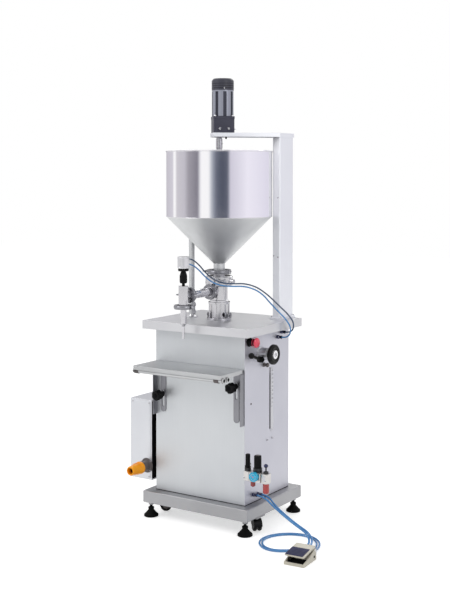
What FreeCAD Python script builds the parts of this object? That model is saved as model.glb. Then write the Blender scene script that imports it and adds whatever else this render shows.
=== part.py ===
import FreeCAD, Part
import math
import os
import re
import types

import Sketcher
from FreeCAD import Placement, Rotation, Vector

# Semi-automatic piston filler with a stirred hopper, on a stainless cabinet.
# Millimetres, +Z up, +X to the operator's right, the front faces -Y.
# The origin is on the floor under the middle of the base frame.

doc = FreeCAD.newDocument("piston_filler")
sheet = doc.addObject("Spreadsheet::Sheet", "dims")

# Driving dimensions: name, value in millimetres or degrees, what it is
DRIVING = [
    ("sheetWall", 2, "folded stainless sheet"),
    ("runFit", 0.06, "radial play of a running fit"),
    ("gap", 0.3, "clearance between pieces that move apart"),
    ("baseLong", 516, "base frame along X"),
    ("baseDeep", 432, "base frame along Y"),
    ("baseTube", 50, "square tube of the base frame"),
    ("baseWall", 2.5, "wall of that tube"),
    ("baseLow", 60, "underside of the base frame above the floor"),
    ("footPad", 30, "radius of a levelling pad"),
    ("footConeTall", 32, "height of the pad's cone"),
    ("footStud", 6, "radius of the levelling stud"),
    ("nutFlat", 19, "lock nut across flats"),
    ("nutTall", 9, "lock nut height"),
    ("casterIn", 110, "front caster swivels from the middle along Y"),
    ("casterRear", 150, "rear caster swivels from the middle along X"),
    ("casterTrail", 14, "wheel behind the swivel axis"),
    ("casterWheel", 22, "caster wheel radius"),
    ("casterLift", 4, "wheel above the floor while the feet stand"),
    ("casterDisc", 12, "width of one wheel disc"),
    ("casterWeb", 7, "web between the two discs"),
    ("cabLong", 440, "cabinet along X"),
    ("cabDeep", 344, "cabinet along Y"),
    ("doorEdge", 32, "rear flange round the door opening"),
    ("tableLong", 520, "table along X"),
    ("tableDeep", 436, "table along Y"),
    ("tableTop", 824, "table top above the floor"),
    ("tableLip", 34, "down-turned lip of the table"),
    ("tableWall", 3, "table sheet"),
    ("feedX", -12, "axis of hopper, valve and dosing cylinder, X"),
    ("feedY", -8, "the same axis, Y"),
    ("hopperOut", 221, "hopper radius outside"),
    ("hopperTop", 1530, "hopper rim above the floor"),
    ("coneTop", 1256, "where the straight wall meets the cone"),
    ("coneLow", 1058, "where the cone meets the neck"),
    ("hopperWall", 2, "hopper sheet"),
    ("rimBead", 2.5, "radius of the rolled rim"),
    ("neckOut", 24, "radius of the outlet neck"),
    ("ferruleBig", 44, "radius of the hopper ferrule"),
    ("ferruleSmall", 25, "radius of a pipe ferrule"),
    ("ferruleTall", 4, "thickness of a ferrule flange"),
    ("clampWall", 6, "clamp ring outside its ferrules"),
    ("valveTop", 1024, "upper ferrule face of the valve body"),
    ("valveHead", 58, "radius of the valve body's head"),
    ("valveLow", 36, "radius of the valve body's lower part"),
    ("outletHigh", 945, "outlet pipe axis above the floor"),
    ("pipeOut", 18, "outlet pipe radius"),
    ("pipeWall", 2, "outlet pipe wall"),
    ("nozzleOut", 258, "nozzle axis in front of the feed axis"),
    ("doseOut", 35, "dosing cylinder outside radius"),
    ("doseIn", 31, "dosing cylinder bore radius"),
    ("doseTop", 898, "top flange of the dosing cylinder"),
    ("doseLow", 672, "lower end of the dosing cylinder"),
    ("doseFlange", 46, "radius of the dosing flanges"),
    ("pistonStroke", 150, "stroke of the dosing piston"),
    ("pistonTall", 34, "dosing piston height"),
    ("rodOut", 9, "piston rod radius"),
    ("crossLow", 430, "underside of the crosshead at rest"),
    ("crossTall", 28, "crosshead height"),
    ("airSide", 78, "air cylinder across its square"),
    ("airLow", 150, "air cylinder above the floor"),
    ("airTop", 412, "top of the air cylinder's gland"),
    ("airBore", 31, "air cylinder bore radius"),
    ("stirShaft", 12, "stirrer shaft radius"),
    ("stirReach", 168, "stirrer blade tip from the axis"),
    ("mastWide", 36, "mast along X"),
    ("mastDeep", 110.5, "mast along Y"),
    ("mastRight", 216, "right face of the mast"),
    ("mastRear", 216, "rear face of the mast"),
    ("mastWall", 2.5, "mast and arm sheet"),
    ("armTop", 1604, "top of the motor arm"),
    ("armTall", 17, "depth of the folded arm"),
    ("armEdge", 3, "arm beyond the gearbox foot"),
    ("motorSide", 18, "motor axis beside the stirrer shaft"),
    ("gearSquare", 88, "gearbox across"),
    ("gearTall", 68, "gearbox height"),
    ("motorOut", 45, "motor body radius"),
    ("motorTall", 109, "ribbed motor body height"),
    ("motorCap", 48, "motor cap height"),
    ("shelfLong", 432, "work shelf along X"),
    ("shelfDeep", 162, "work shelf along Y"),
    ("shelfTop", 656, "shelf top above the floor"),
    ("shelfFold", 16, "folded edge of the shelf"),
    ("railOut", 10, "shelf rail radius"),
    ("slotWide", 26, "bracket bar width"),
    ("starOut", 21, "star knob radius"),
    ("starLong", 36, "star knob head length"),
    ("boxLong", 112, "electric box along X"),
    ("boxDeep", 260, "electric box along Y"),
    ("boxTall", 338, "electric box height"),
    ("boxLow", 144, "underside of the electric box"),
    ("boxGap", 24, "electric box beside the cabinet"),
    ("plugOut", 25, "power plug radius"),
    ("plugLong", 106, "power plug length"),
    ("wheelY", -60, "handwheel axis, Y"),
    ("wheelHigh", 708, "handwheel axis above the floor"),
    ("wheelOut", 40, "handwheel radius"),
    ("wheelThick", 18, "handwheel rim thickness"),
    ("wheelFar", 285, "middle of the handwheel rim, X"),
    ("bearingOut", 24, "handwheel bearing radius"),
    ("screwX", 168, "adjusting screw axis, X"),
    ("screwOut", 7, "adjusting screw radius"),
    ("stopHigh", 612, "underside of the stop at full dose"),
    ("stopTall", 26, "stop block height"),
    ("slotY", 20, "scale slot, Y"),
    ("slotLow", 385, "lower end of the scale slot"),
    ("slotMore", 102, "scale slot longer than the piston stroke"),
    ("scaleSlot", 5, "width of the scale slot"),
    ("stopRed", 20, "emergency stop head radius"),
    ("frlHigh", 240, "air unit body, middle above the floor"),
    ("frlOut", 6, "air unit axis in front of the cabinet"),
    ("frlThick", 34, "air unit body thickness"),
    ("doorWide", 388, "rear door width"),
    ("doorTall", 646, "rear door height"),
    ("tubeAir", 3, "radius of the upper air tubes"),
    ("tubePedal", 4, "radius of the pedal tubes"),
    ("pedalLong", 82, "pedal width"),
    ("pedalDeep", 108, "pedal depth"),
    ("pedalTall", 51, "pedal height at the back"),
    ("pedalX", 561, "pedal middle, X"),
    ("pedalY", -328, "pedal middle, Y"),
    ("pedalTurn", 4, "pedal turned on the floor, degrees"),
]

for row, (alias, number, note) in enumerate(DRIVING, start=1):
    sheet.set("A%d" % row, str(number))
    sheet.setAlias("A%d" % row, alias)
    sheet.set("B%d" % row, note)
doc.recompute()

NAMES = {alias for alias, number, note in DRIVING}
d = types.SimpleNamespace(**{alias: float(getattr(sheet, alias)) for alias in NAMES})


def formula(text):
    """A size written with the sheet's own names becomes an expression."""
    return re.sub(r"[A-Za-z]\w*", lambda word: "dims." + word.group(0)
                  if word.group(0) in NAMES else word.group(0), str(text))


def bind(thing, **sizes):
    for prop, text in sizes.items():
        thing.setExpression(prop, formula(text))
    return thing


# Directions that a piece built along Z can be laid in
TURN = {
    "z": Rotation(),
    "-z": Rotation(Vector(1, 0, 0), 180),
    "x": Rotation(Vector(0, 1, 0), 90),
    "-x": Rotation(Vector(0, 1, 0), -90),
    "y": Rotation(Vector(1, 0, 0), -90),
    "-y": Rotation(Vector(1, 0, 0), 90),
    "yz": Rotation(Vector(1, 1, 1), 120),
}


def place(thing, at=(0, 0, 0), along="z", turn=0):
    spin = Rotation(Vector(0, 0, 1), turn) * TURN[along]
    thing.Placement = Placement(Vector(*at), spin)
    return thing


def box(long, deep, tall, at=(0, 0, 0), turn=0):
    thing = doc.addObject("Part::Box", "block")
    bind(thing, Length=long, Width=deep, Height=tall)
    return place(thing, at, turn=turn)


def rod(radius, tall, at=(0, 0, 0), along="z"):
    thing = doc.addObject("Part::Cylinder", "round")
    bind(thing, Radius=radius, Height=tall)
    return place(thing, at, along)


def cone(low, top, tall, at=(0, 0, 0), along="z"):
    thing = doc.addObject("Part::Cone", "taper")
    bind(thing, Radius1=low, Radius2=top, Height=tall)
    return place(thing, at, along)


def ball(radius, at):
    thing = doc.addObject("Part::Sphere", "ball")
    bind(thing, Radius=radius)
    return place(thing, at)


def join(*things):
    whole = doc.addObject("Part::MultiFuse", "join")
    whole.Shapes = list(things)
    whole.Refine = True
    return whole


def take(base, *tools):
    tool = tools[0] if len(tools) == 1 else join(*tools)
    rest = doc.addObject("Part::Cut", "rest")
    rest.Base = base
    rest.Tool = tool
    return rest


def set_of(*things):
    """Separate solids that share one node, such as the same fastener repeated."""
    group = doc.addObject("Part::Compound", "set")
    group.Links = list(things)
    return group


def outline_sketch(body, plane, points):
    """A closed outline whose corners are held by the sheet's names."""
    drawing = body.newObject("Sketcher::SketchObject", "outline")
    support = [item for item in body.Origin.OriginFeatures if item.Role == plane]
    drawing.AttachmentSupport = [(support[0], "")]
    drawing.MapMode = "FlatFace"
    corners = [Vector(guess(across), guess(up), 0) for across, up in points]
    count = len(points)
    for i in range(count):
        drawing.addGeometry(Part.LineSegment(corners[i], corners[(i + 1) % count]))
    for i in range(count):
        drawing.addConstraint(Sketcher.Constraint("Coincident", i, 2, (i + 1) % count, 1))
    for i, (across, up) in enumerate(points):
        hold(drawing, "DistanceX", i, corners[i].x, across, -2)
        hold(drawing, "DistanceY", i, corners[i].y, up, -1)
    return drawing


def hold(drawing, kind, corner, number, text, axis):
    if str(text) == "0":
        drawing.addConstraint(Sketcher.Constraint("PointOnObject", corner, 1, axis))
        return
    index = drawing.addConstraint(Sketcher.Constraint(kind, -1, 1, corner, 1, number))
    drawing.setExpression("Constraints[%d]" % index, formula(text))


def guess(text):
    """The number that a formula of names, numbers, brackets and + - * / gives."""
    words = re.findall(r"[A-Za-z]\w*|[\d.]+|[-+*/()]", str(text))

    def factor():
        word = words.pop(0)
        if word == "-":
            return -factor()
        if word == "(":
            value = total()
            words.pop(0)
            return value
        return getattr(d, word) if word in NAMES else float(word)

    def product():
        value = factor()
        while words and words[0] in "*/":
            if words.pop(0) == "*":
                value *= factor()
            else:
                value /= factor()
        return value

    def total():
        value = product()
        while words and words[0] in "+-":
            if words.pop(0) == "+":
                value += product()
            else:
                value -= product()
        return value

    return total()


def turned(points, at=(0, 0, 0), along="z"):
    """A lathe piece: its outline gives radius and height."""
    body = doc.addObject("PartDesign::Body", "turned")
    drawing = outline_sketch(body, "XZ_Plane", points)
    spin = body.newObject("PartDesign::Revolution", "spin")
    spin.Profile = drawing
    spin.ReferenceAxis = (drawing, ["V_Axis"])
    spin.Angle = 360
    body.Tip = spin
    return place(body, at, along)


def plate(points, thick, at=(0, 0, 0), along="z", turn=0):
    """A flat piece: its outline lies in the plane across its thickness."""
    body = doc.addObject("PartDesign::Body", "plate")
    drawing = outline_sketch(body, "XY_Plane", points)
    pad = body.newObject("PartDesign::Pad", "pad")
    pad.Profile = drawing
    bind(pad, Length=thick)
    body.Tip = pad
    return place(body, at, along, turn)


def round_edges(body, radius, wanted):
    """Rounds the edges of a body's last feature that the test picks."""
    doc.recompute()
    base = body.Tip
    names = ["Edge%d" % (i + 1) for i, edge in enumerate(base.Shape.Edges) if wanted(edge)]
    soft = body.newObject("PartDesign::Fillet", "soft")
    soft.Base = (base, names)
    bind(soft, Radius=radius)
    body.Tip = soft
    return body


def upright(edge):
    first, last = edge.Vertexes[0].Point, edge.Vertexes[-1].Point
    return abs(first.x - last.x) < 0.01 and abs(first.y - last.y) < 0.01


def rounded_block(long, deep, tall, radius, at=(0, 0, 0), along="z", turn=0, wanted=upright):
    """A block centred on its axis, with its upright edges rounded."""
    x = "(%s)/2" % long
    y = "(%s)/2" % deep
    points = [("-" + x, "-" + y), (x, "-" + y), (x, y), ("-" + x, y)]
    body = plate(points, tall, at, along, turn)
    return round_edges(body, radius, wanted)


def hollowed(body, wall, wanted):
    """Leaves an even wall and opens the body at the faces that the test picks."""
    doc.recompute()
    base = body.Tip
    names = ["Face%d" % (i + 1) for i, face in enumerate(base.Shape.Faces) if wanted(face)]
    skin = body.newObject("PartDesign::Thickness", "skin")
    skin.Base = (base, names)
    bind(skin, Value=wall)
    skin.Mode = 0
    skin.Join = 0
    skin.Reversed = True
    body.Tip = skin
    return body


def pocketed(body, points, deep):
    """A pocket cut into the body's own top plane at the origin."""
    drawing = outline_sketch(body, "XY_Plane", points)
    cut = body.newObject("PartDesign::Pocket", "groove")
    cut.Profile = drawing
    cut.Reversed = True
    bind(cut, Length=deep)
    body.Tip = cut
    return cut


def repeated(body, tool, count):
    """Repeats a body's pocket round its own axis."""
    ring = body.newObject("PartDesign::PolarPattern", "ring")
    ring.Originals = [tool]
    axis = [item for item in body.Origin.OriginFeatures if item.Role == "Z_Axis"]
    ring.Axis = (axis[0], [""])
    ring.Angle = 360
    ring.Occurrences = count
    body.Tip = ring
    return body


def hex_nut(flat, tall, at, along="z"):
    thing = doc.addObject("Part::Prism", "nut")
    thing.Polygon = 6
    bind(thing, Circumradius="%s/1.732" % flat, Height=tall)
    return place(thing, at, along)


parts = {}


def node(name, thing):
    thing.Label = name
    parts[name] = thing
    return thing


# Places worked out from the driving dimensions
baseTop = d.baseLow + d.baseTube
footX = d.baseLong / 2 - d.baseTube / 2
footY = d.baseDeep / 2 - d.baseTube / 2
cabX = d.cabLong / 2
cabY = d.cabDeep / 2
tableUnder = d.tableTop - d.tableWall
nozzleY = d.feedY - d.nozzleOut
tableFace = d.tableTop


def up(z):
    return (d.feedX, d.feedY, z)


def mid_box(long, deep, tall, at):
    """A block centred over the place given for its underside."""
    x, y, z = at
    return box(long, deep, tall, (x - guess(long) / 2, y - guess(deep) / 2, z))


# Base frame: welded square tube with weld nuts for the feet and caster plates
frame = take(
    rounded_block("baseLong", "baseDeep", "baseTube", "4", (0, 0, d.baseLow), wanted=lambda edge: True),
    mid_box("baseLong - 2*baseTube", "baseDeep - 2*baseTube", "baseTube", (0, 0, d.baseLow)),
    take(mid_box("baseLong - 2*baseWall", "baseDeep - 2*baseWall", "baseTube - 2*baseWall",
                 (0, 0, d.baseLow + d.baseWall)),
         mid_box("baseLong - 2*baseTube + 2*baseWall", "baseDeep - 2*baseTube + 2*baseWall",
                 "baseTube - 2*baseWall", (0, 0, d.baseLow + d.baseWall))))
corners = [("front_left", -1, -1), ("front_right", 1, -1), ("rear_left", -1, 1), ("rear_right", 1, 1)]
plateTall = 4
swivels = {
    "front_left": (-footX, -d.casterIn), "front_right": (footX, -d.casterIn),
    "rear_left": (-d.casterRear, footY), "rear_right": (d.casterRear, footY)}
under = []
bores = []
for name, sx, sy in corners:
    foot = (sx * footX, sy * footY)
    swivel = swivels[name]
    under.append(hex_nut("nutFlat", "nutTall", foot + (d.baseLow - d.nutTall,)))
    long, deep = ("50", "64") if sy < 0 else ("64", "50")
    under.append(mid_box(long, deep, str(plateTall), swivel + (d.baseLow - plateTall,)))
    bores.append(rod("footStud + runFit", "nutTall + baseWall + 1", foot + (d.baseLow - d.nutTall,)))
    bores.append(rod("5 + runFit", "baseWall + 5", swivel + (d.baseLow - plateTall,)))
node("base_frame", take(join(frame, *under), *bores))

# Levelling feet: a moulded pad with its threaded stud
for name, sx, sy in corners:
    pad = turned([("0", "0"), ("footPad - 2", "0"), ("footPad", "3"), ("footPad", "8"),
                  ("footPad - 5", "12"), ("12", "footConeTall - 5"), ("11", "footConeTall + 4"),
                  ("footStud", "footConeTall + 4"), ("footStud", "baseLow + 30"), ("0", "baseLow + 30")],
                 (sx * footX, sy * footY, 0))
    node("foot_" + name, pad)

# Casters: twin wheels in a hooded fork that swivels under its plate
yaws = {"front_left": -54, "front_right": -133, "rear_left": 150, "rear_right": 75}
wheelMid = d.casterLift + d.casterWheel
raceTop = d.baseLow - plateTall - d.gap
for name, sx, sy in corners:
    yaw = yaws[name]
    x, y = swivels[name]
    side = (math.cos(math.radians(yaw)), math.sin(math.radians(yaw)))
    ahead = (-side[1], side[0])
    hub = (x + ahead[0] * d.casterTrail, y + ahead[1] * d.casterTrail, wheelMid)
    lay = Rotation(Vector(0, 0, 1), yaw) * TURN["x"]

    def across(thing, start):
        thing.Placement = Placement(Vector(hub[0] + side[0] * start, hub[1] + side[1] * start, hub[2]), lay)
        return thing

    discGap = d.casterWeb / 2 + 0.5
    hood = across(rod("casterWheel + 4", "2*casterDisc + casterWeb + 4"), -d.casterDisc - discGap - 1.5)
    room = [across(rod("casterWheel + 1.2", "casterDisc + 1"), discGap - 0.5),
            across(rod("casterWheel + 1.2", "casterDisc + 1"), -d.casterDisc - discGap - 0.5)]
    lower = box("90", "90", "casterWheel + 6", (0, 0, 0))
    lower.Placement = Placement(Vector(hub[0], hub[1], hub[2] - 1 - d.casterWheel - 6)
                                + Rotation(Vector(0, 0, 1), yaw).multVec(Vector(-45, -45, 0)),
                                Rotation(Vector(0, 0, 1), yaw))
    axle = across(rod("3", "2*casterDisc + casterWeb + 1"), -d.casterDisc - discGap)
    web = across(rod("9", "casterWeb"), -d.casterWeb / 2)
    race = rod("15", "10", (x, y, raceTop - 10))
    stem = rod("5", "baseWall + 8", (x, y, raceTop - 1))
    head = rod("8", "3", (x, y, d.baseLow + d.baseWall + d.gap))
    fork = join(take(join(hood, race), lower, *room), stem, head, web, axle)
    node("caster_fork_" + name, fork)
    discs = [across(rod("casterWheel", "casterDisc"), discGap),
             across(rod("casterWheel", "casterDisc"), -d.casterDisc - discGap)]
    bore = across(rod("3 + runFit", "2*casterDisc + casterWeb + 9"), -d.casterDisc - discGap - 4)
    wheels = take(join(*discs), bore)
    node("caster_wheel_" + name, wheels)

# Cabinet: folded sheet with a rear door opening, a scale slot and the shelf studs
cabTall = "tableTop - tableWall - baseLow - baseTube"
right = cabX - d.sheetWall
studs = [("left", -181, 518), ("right", 181, 586)]
shell = take(
    mid_box("cabLong", "cabDeep", cabTall, (0, 0, baseTop)),
    mid_box("cabLong - 2*sheetWall", "cabDeep - 2*sheetWall", cabTall, (0, 0, baseTop + d.sheetWall)),
    mid_box("cabLong - 2*doorEdge", "4*sheetWall", "doorTall - 16", (0, cabY - 4, 150)),
    box("4*sheetWall", "scaleSlot", "pistonStroke + slotMore",
        (right - 3, d.slotY - d.scaleSlot / 2, d.slotLow)),
    rod("8.5", "4*sheetWall", (right - 3, d.wheelY, d.wheelHigh), "x"),
    rod("10", "4*sheetWall", (-right + 3, -40, 300), "-x"))
fixed = [shell]
for side, x, z in studs:
    fixed.append(rod("5", "43", (x, -cabY + 1, z), "-y"))
pinX = -200
pinY = cabY + 7
hinges = (230, 700)
for z in hinges:
    fixed.append(box("16", "2", "20", (pinX - 16, cabY, z)))
    fixed.append(rod("6", "20", (pinX, pinY, z)))
    fixed.append(rod("3", "42", (pinX, pinY, z)))
# Brackets inside that carry the adjusting screw and the stop's guide rod
guideY = 0
screwFoot = baseTop + 208
for z, bore in ((screwFoot, 5), (d.wheelHigh - 44, d.screwOut)):
    lug = box("50", "85", "8", (right - 50, d.wheelY - 20, z))
    fixed.append(take(lug, rod("%s + runFit" % bore, "10", (d.screwX, d.wheelY, z - 1))))
fixed.append(rod("6", "wheelHigh - 40 - %s" % (screwFoot + 4), (d.screwX, guideY, screwFoot + 4)))
node("cabinet_shell", join(*fixed))

# Rear door on lift-off hinges, with its quarter-turn latch
doorLow = 142
latch = (175, 450)
doorFace = cabY + 2 * d.gap
leaf = [box("doorWide", "sheetWall", "doorTall", (-d.doorWide / 2, doorFace, doorLow))]
for z in hinges:
    leaf.append(box("18", "2", "20", (pinX + 2, doorFace + d.sheetWall, z + 20 + d.gap)))
    leaf.append(rod("6", "20", (pinX, pinY, z + 20 + d.gap)))
holes = [rod("3 + runFit", "24", (pinX, pinY, z + 19)) for z in hinges]
holes.append(rod("8 + runFit", "12", (latch[0], doorFace - 4, latch[1]), "y"))
node("rear_door", take(join(*leaf), *holes))
outside = doorFace + d.sheetWall + d.gap
lock = join(rod("8", "16", (latch[0], outside - 15, latch[1]), "y"),
            rod("11", "5", (latch[0], outside, latch[1]), "y"),
            box("10", "3", "36", (latch[0] - 5, outside - 15, latch[1] - 8)))
node("door_latch", take(lock, box("14", "4", "3", (latch[0] - 7, outside + 3, latch[1] - 1.5))))

# Table: a tray with its edge turned down
table = rounded_block("tableLong", "tableDeep", "tableLip", "6", (0, 0, tableFace - d.tableLip))
table = hollowed(table, "tableWall",
                 lambda face: face.CenterOfMass.z < 0.01 and abs(face.normalAt(0, 0).z) > 0.9)
node("table_top", take(table, rod("doseOut + gap", "20", up(tableUnder - 8))))

# Mast: a square tube on a foot plate
mastX = d.mastRight - d.mastWide / 2
mastY = d.mastRear - d.mastDeep / 2
mastTall = "armTop - 3 - tableTop"
post = take(
    join(rounded_block("mastWide", "mastDeep", mastTall, "5", (mastX, mastY, tableFace)),
         rounded_block("mastWide + 20", "mastDeep + 6", "10", "2", (mastX, mastY - 1, tableFace))),
    mid_box("mastWide - 2*mastWall", "mastDeep - 2*mastWall", mastTall, (mastX, mastY, tableFace)))
node("mast_post", post)

# Motor arm: a folded tray that runs slantwise from the motor and fits over the mast
motorX = d.feedX + d.motorSide
toMast = Vector(mastX - motorX, mastY - d.feedY, 0).normalize()
armTurn = math.degrees(math.atan2(toMast.y, toMast.x))
armSide = Vector(toMast.y, -toMast.x, 0) * (d.gearSquare / 2 + d.armEdge)
armNear = Vector(motorX, d.feedY, 0) - toMast * (d.gearSquare / 2 + d.armEdge)
nearFront = armNear + armSide
nearRear = armNear - armSide
arm = plate([(str(round(nearFront.x, 2)), str(round(nearFront.y, 2))),
             ("mastRight + mastWall", "mastRear - mastDeep - mastWall"),
             ("mastRight + mastWall", "mastRear + mastWall"),
             ("mastRight - mastWide - mastWall", "mastRear + mastWall"),
             (str(round(nearRear.x, 2)), str(round(nearRear.y, 2)))],
            "armTall", (0, 0, d.armTop - d.armTall))
arm = hollowed(arm, "mastWall", lambda face: face.CenterOfMass.z < 0.01 and abs(face.normalAt(0, 0).z) > 0.9)
armUnder = d.armTop - d.mastWall
node("mast_arm", take(arm, rod("18", "20", up(armUnder - 8))))

# Gear motor standing on the arm, square to it, over the stirrer shaft
motorLow = d.armTop + d.gearTall
gears = join(
    rounded_block("gearSquare", "gearSquare", "gearTall - 10", "9", (motorX, d.feedY, d.armTop),
                  turn=armTurn),
    rounded_block("gearSquare + 2", "gearSquare + 2", "10", "9", (motorX, d.feedY, motorLow - 10),
                  turn=armTurn),
    rod("17", "14", up(d.armTop - 12)))
node("gearbox", take(gears, rod("stirShaft + runFit", "52", up(d.armTop - 13))))

motor = turned([("0", "0"), ("motorOut", "0"), ("motorOut", "motorTall"), ("motorOut + 1", "motorTall"),
                ("motorOut + 1", "motorTall + motorCap - 8"), ("motorOut - 6", "motorTall + motorCap"),
                ("0", "motorTall + motorCap")], (motorX, d.feedY, motorLow))
flute = pocketed(motor, [("motorOut - 3", "-7"), ("motorOut + 6", "-7"),
                         ("motorOut + 6", "7"), ("motorOut - 3", "7")], "motorTall - 6")
repeated(motor, flute, 8)
node("motor_body", motor)

# Hopper: straight wall, cone, neck and ferrule, with its stay tube
hop = turned([
    ("neckOut - hopperWall", "0"), ("ferruleBig", "0"), ("ferruleBig", "ferruleTall"),
    ("neckOut", "ferruleTall"), ("neckOut", "coneLow - valveTop"),
    ("hopperOut", "coneTop - valveTop"), ("hopperOut", "hopperTop - valveTop - 2*rimBead"),
    ("hopperOut + rimBead", "hopperTop - valveTop - 1.5*rimBead"),
    ("hopperOut + rimBead", "hopperTop - valveTop - 0.5*rimBead"),
    ("hopperOut + 1", "hopperTop - valveTop"), ("hopperOut - hopperWall", "hopperTop - valveTop"),
    ("hopperOut - hopperWall", "coneTop - valveTop + 1"),
    ("neckOut - hopperWall", "coneLow - valveTop + 1")], up(d.valveTop))
slope = (d.hopperOut - d.neckOut) / (d.coneTop - d.coneLow)
stayOff = 137
stayTop = d.coneLow + (stayOff - d.neckOut) / slope
stay = take(join(rod("12.5", "%s" % (stayTop + 12 - d.tableTop), (d.feedX - stayOff, d.feedY - 5, tableFace)),
                 rod("26", "5", (d.feedX - stayOff, d.feedY - 5, tableFace))),
            cone("neckOut - 1", "hopperOut - 1", "coneTop - coneLow", up(d.coneLow)))
node("hopper", join(hop, stay))

# Valve body under the hopper, with its side port to the outlet pipe
portOut = 70
nozzleAt = (d.feedX, nozzleY)
bodyLow = d.doseTop
valve = turned([
    ("neckOut - hopperWall", "0"), ("40", "0"), ("40", "7"), ("valveLow", "9"), ("valveLow", "64"),
    ("valveHead - 4", "67"), ("valveHead", "72"), ("valveHead", "104"), ("valveHead - 6", "110"),
    ("neckOut", "110"), ("neckOut", "valveTop - doseTop - ferruleTall"),
    ("ferruleBig", "valveTop - doseTop - ferruleTall"), ("ferruleBig", "valveTop - doseTop"),
    ("neckOut - hopperWall", "valveTop - doseTop")], up(bodyLow))
portAt = (d.feedX, d.feedY, d.outletHigh)
valve = join(valve,
             take(join(rod("pipeOut", str(portOut), portAt, "-y"),
                       rod("ferruleSmall", "ferruleTall",
                           (d.feedX, d.feedY - portOut + d.ferruleTall, d.outletHigh), "-y")),
                  rod("neckOut", "200", up(bodyLow - 20))),
             rod("9", "24", (d.feedX + d.valveHead - 8, d.feedY, 986), "x"))
node("valve_body", take(valve, rod("pipeOut - pipeWall", str(portOut + 1), portAt, "-y")))

# Dosing cylinder standing through the table, with its tie rods and wing nuts
doseTall = "doseTop - doseLow"
tube = turned([
    ("doseIn", "0"), ("doseFlange", "0"), ("doseFlange", "8"), ("doseOut", "8"),
    ("doseOut", "tableTop - doseLow"), ("doseFlange + 6", "tableTop - doseLow"),
    ("doseFlange + 6", "tableTop - doseLow + 8"), ("doseOut", "tableTop - doseLow + 8"),
    ("doseOut", doseTall + " - 8"), ("doseFlange", doseTall + " - 8"),
    ("doseFlange", doseTall), ("doseIn", doseTall)], up(d.doseLow))
bars = [tube]
for i in range(4):
    angle = math.radians(45 + 90 * i)
    reach = d.doseFlange - 5
    bars.append(rod("4", "doseTop - tableTop - 15", (d.feedX + reach * math.cos(angle),
                                                     d.feedY + reach * math.sin(angle), tableFace + 7.5)))
for sx in (-1, 1):
    x = d.feedX + sx * (d.doseFlange - 1)
    bars.append(rod("4", "16", (x, d.feedY, tableFace + 7)))
    bars.append(mid_box("26", "5", "8", (x + sx * 4, d.feedY, tableFace + 14)))
node("dosing_cylinder", join(*bars))

# Outlet pipe, ferrule to ferrule
pipeRun = "nozzleOut - %s - 40" % portOut
node("outlet_pipe", turned([
    ("pipeOut - pipeWall", "0"), ("ferruleSmall", "0"), ("ferruleSmall", "ferruleTall"),
    ("pipeOut", "ferruleTall"), ("pipeOut", pipeRun + " - ferruleTall"),
    ("ferruleSmall", pipeRun + " - ferruleTall"), ("ferruleSmall", pipeRun),
    ("pipeOut - pipeWall", pipeRun)], (d.feedX, d.feedY - portOut, d.outletHigh), "-y"))

# Nozzle body: standing tube, side stub, ferrule and spout
spoutLow = d.outletHigh - 172
spout = turned([
    ("3", "0"), ("5", "0"), ("5.5", "50"), ("12", "60"), ("12", "124"), ("32", "124"), ("32", "132"),
    ("20", "132"), ("20", "212"), ("6", "212"), ("6", "208"), ("16", "208"), ("16", "134"), ("10", "128"),
    ("10", "61"), ("3", "53")], nozzleAt + (spoutLow,))
stub = take(join(rod("pipeOut", "40", nozzleAt + (d.outletHigh,), "y"),
                 rod("ferruleSmall", "ferruleTall",
                     (d.feedX, nozzleY + 40 - d.ferruleTall, d.outletHigh), "y")),
            rod("17", "60", nozzleAt + (d.outletHigh - 30,)))
node("nozzle_body", take(join(spout, stub),
                         rod("pipeOut - pipeWall", "42", nozzleAt + (d.outletHigh,), "y")))

# Bonnet between the nozzle and its air cylinder
node("nozzle_bonnet", turned([
    ("4 + runFit", "0"), ("6", "0"), ("6", "15"), ("12", "15"), ("14.5", "18"), ("14.5", "48"),
    ("10", "62"), ("10", "64"), ("21", "64"), ("21", "75"), ("4 + runFit", "75")],
    nozzleAt + (spoutLow + 208,)))

# Nozzle air cylinder and its two ports
airTubeLow = spoutLow + 283
nozzleAir = take(
    join(turned([("0", "0"), ("23", "0"), ("24", "2"), ("24", "45"), ("22", "47"), ("0", "47")],
                nozzleAt + (airTubeLow,)),
         rod("5", "12", (d.feedX, nozzleY + 20, airTubeLow + 35), "y"),
         rod("5", "12", (d.feedX, nozzleY + 20, airTubeLow + 13), "y")),
    rod("18 + runFit", "36", nozzleAt + (airTubeLow + 6,)),
    rod("4 + runFit", "8", nozzleAt + (airTubeLow - 1,)))
node("nozzle_cylinder", nozzleAir)
node("nozzle_rod", turned([
    ("0", "0"), ("1.5", "0"), ("4", "5"), ("4", "235"), ("18", "235"), ("18", "243"), ("0", "243")],
    nozzleAt + (spoutLow + 57,)))

# Clamp rings with their wing nuts
def clamp(ferrule, half, at, along, nut):
    ring = turned([
        ("%s - 4" % ferrule, "-%s" % half), ("%s + clampWall" % ferrule, "-%s" % half),
        ("%s + clampWall" % ferrule, str(half)), ("%s - 4" % ferrule, str(half)),
        ("%s - 4" % ferrule, "ferruleTall"), (ferrule, "ferruleTall"),
        (ferrule, "-ferruleTall"), ("%s - 4" % ferrule, "-ferruleTall")], at, along)
    reach = guess(ferrule) + d.clampWall - 1
    x, y, z = at
    if nut == "left":
        stem = rod("4", "16", (x - reach, y, z), "-x")
        wing = mid_box("8", "28", "7", (x - reach - 14, y, z - 3.5))
    else:
        stem = rod("4", "16", (x + reach, y, z), "x")
        wing = mid_box("8", "7", "26", (x + reach + 14, y, z - 13))
    return join(ring, stem, wing)


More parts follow.
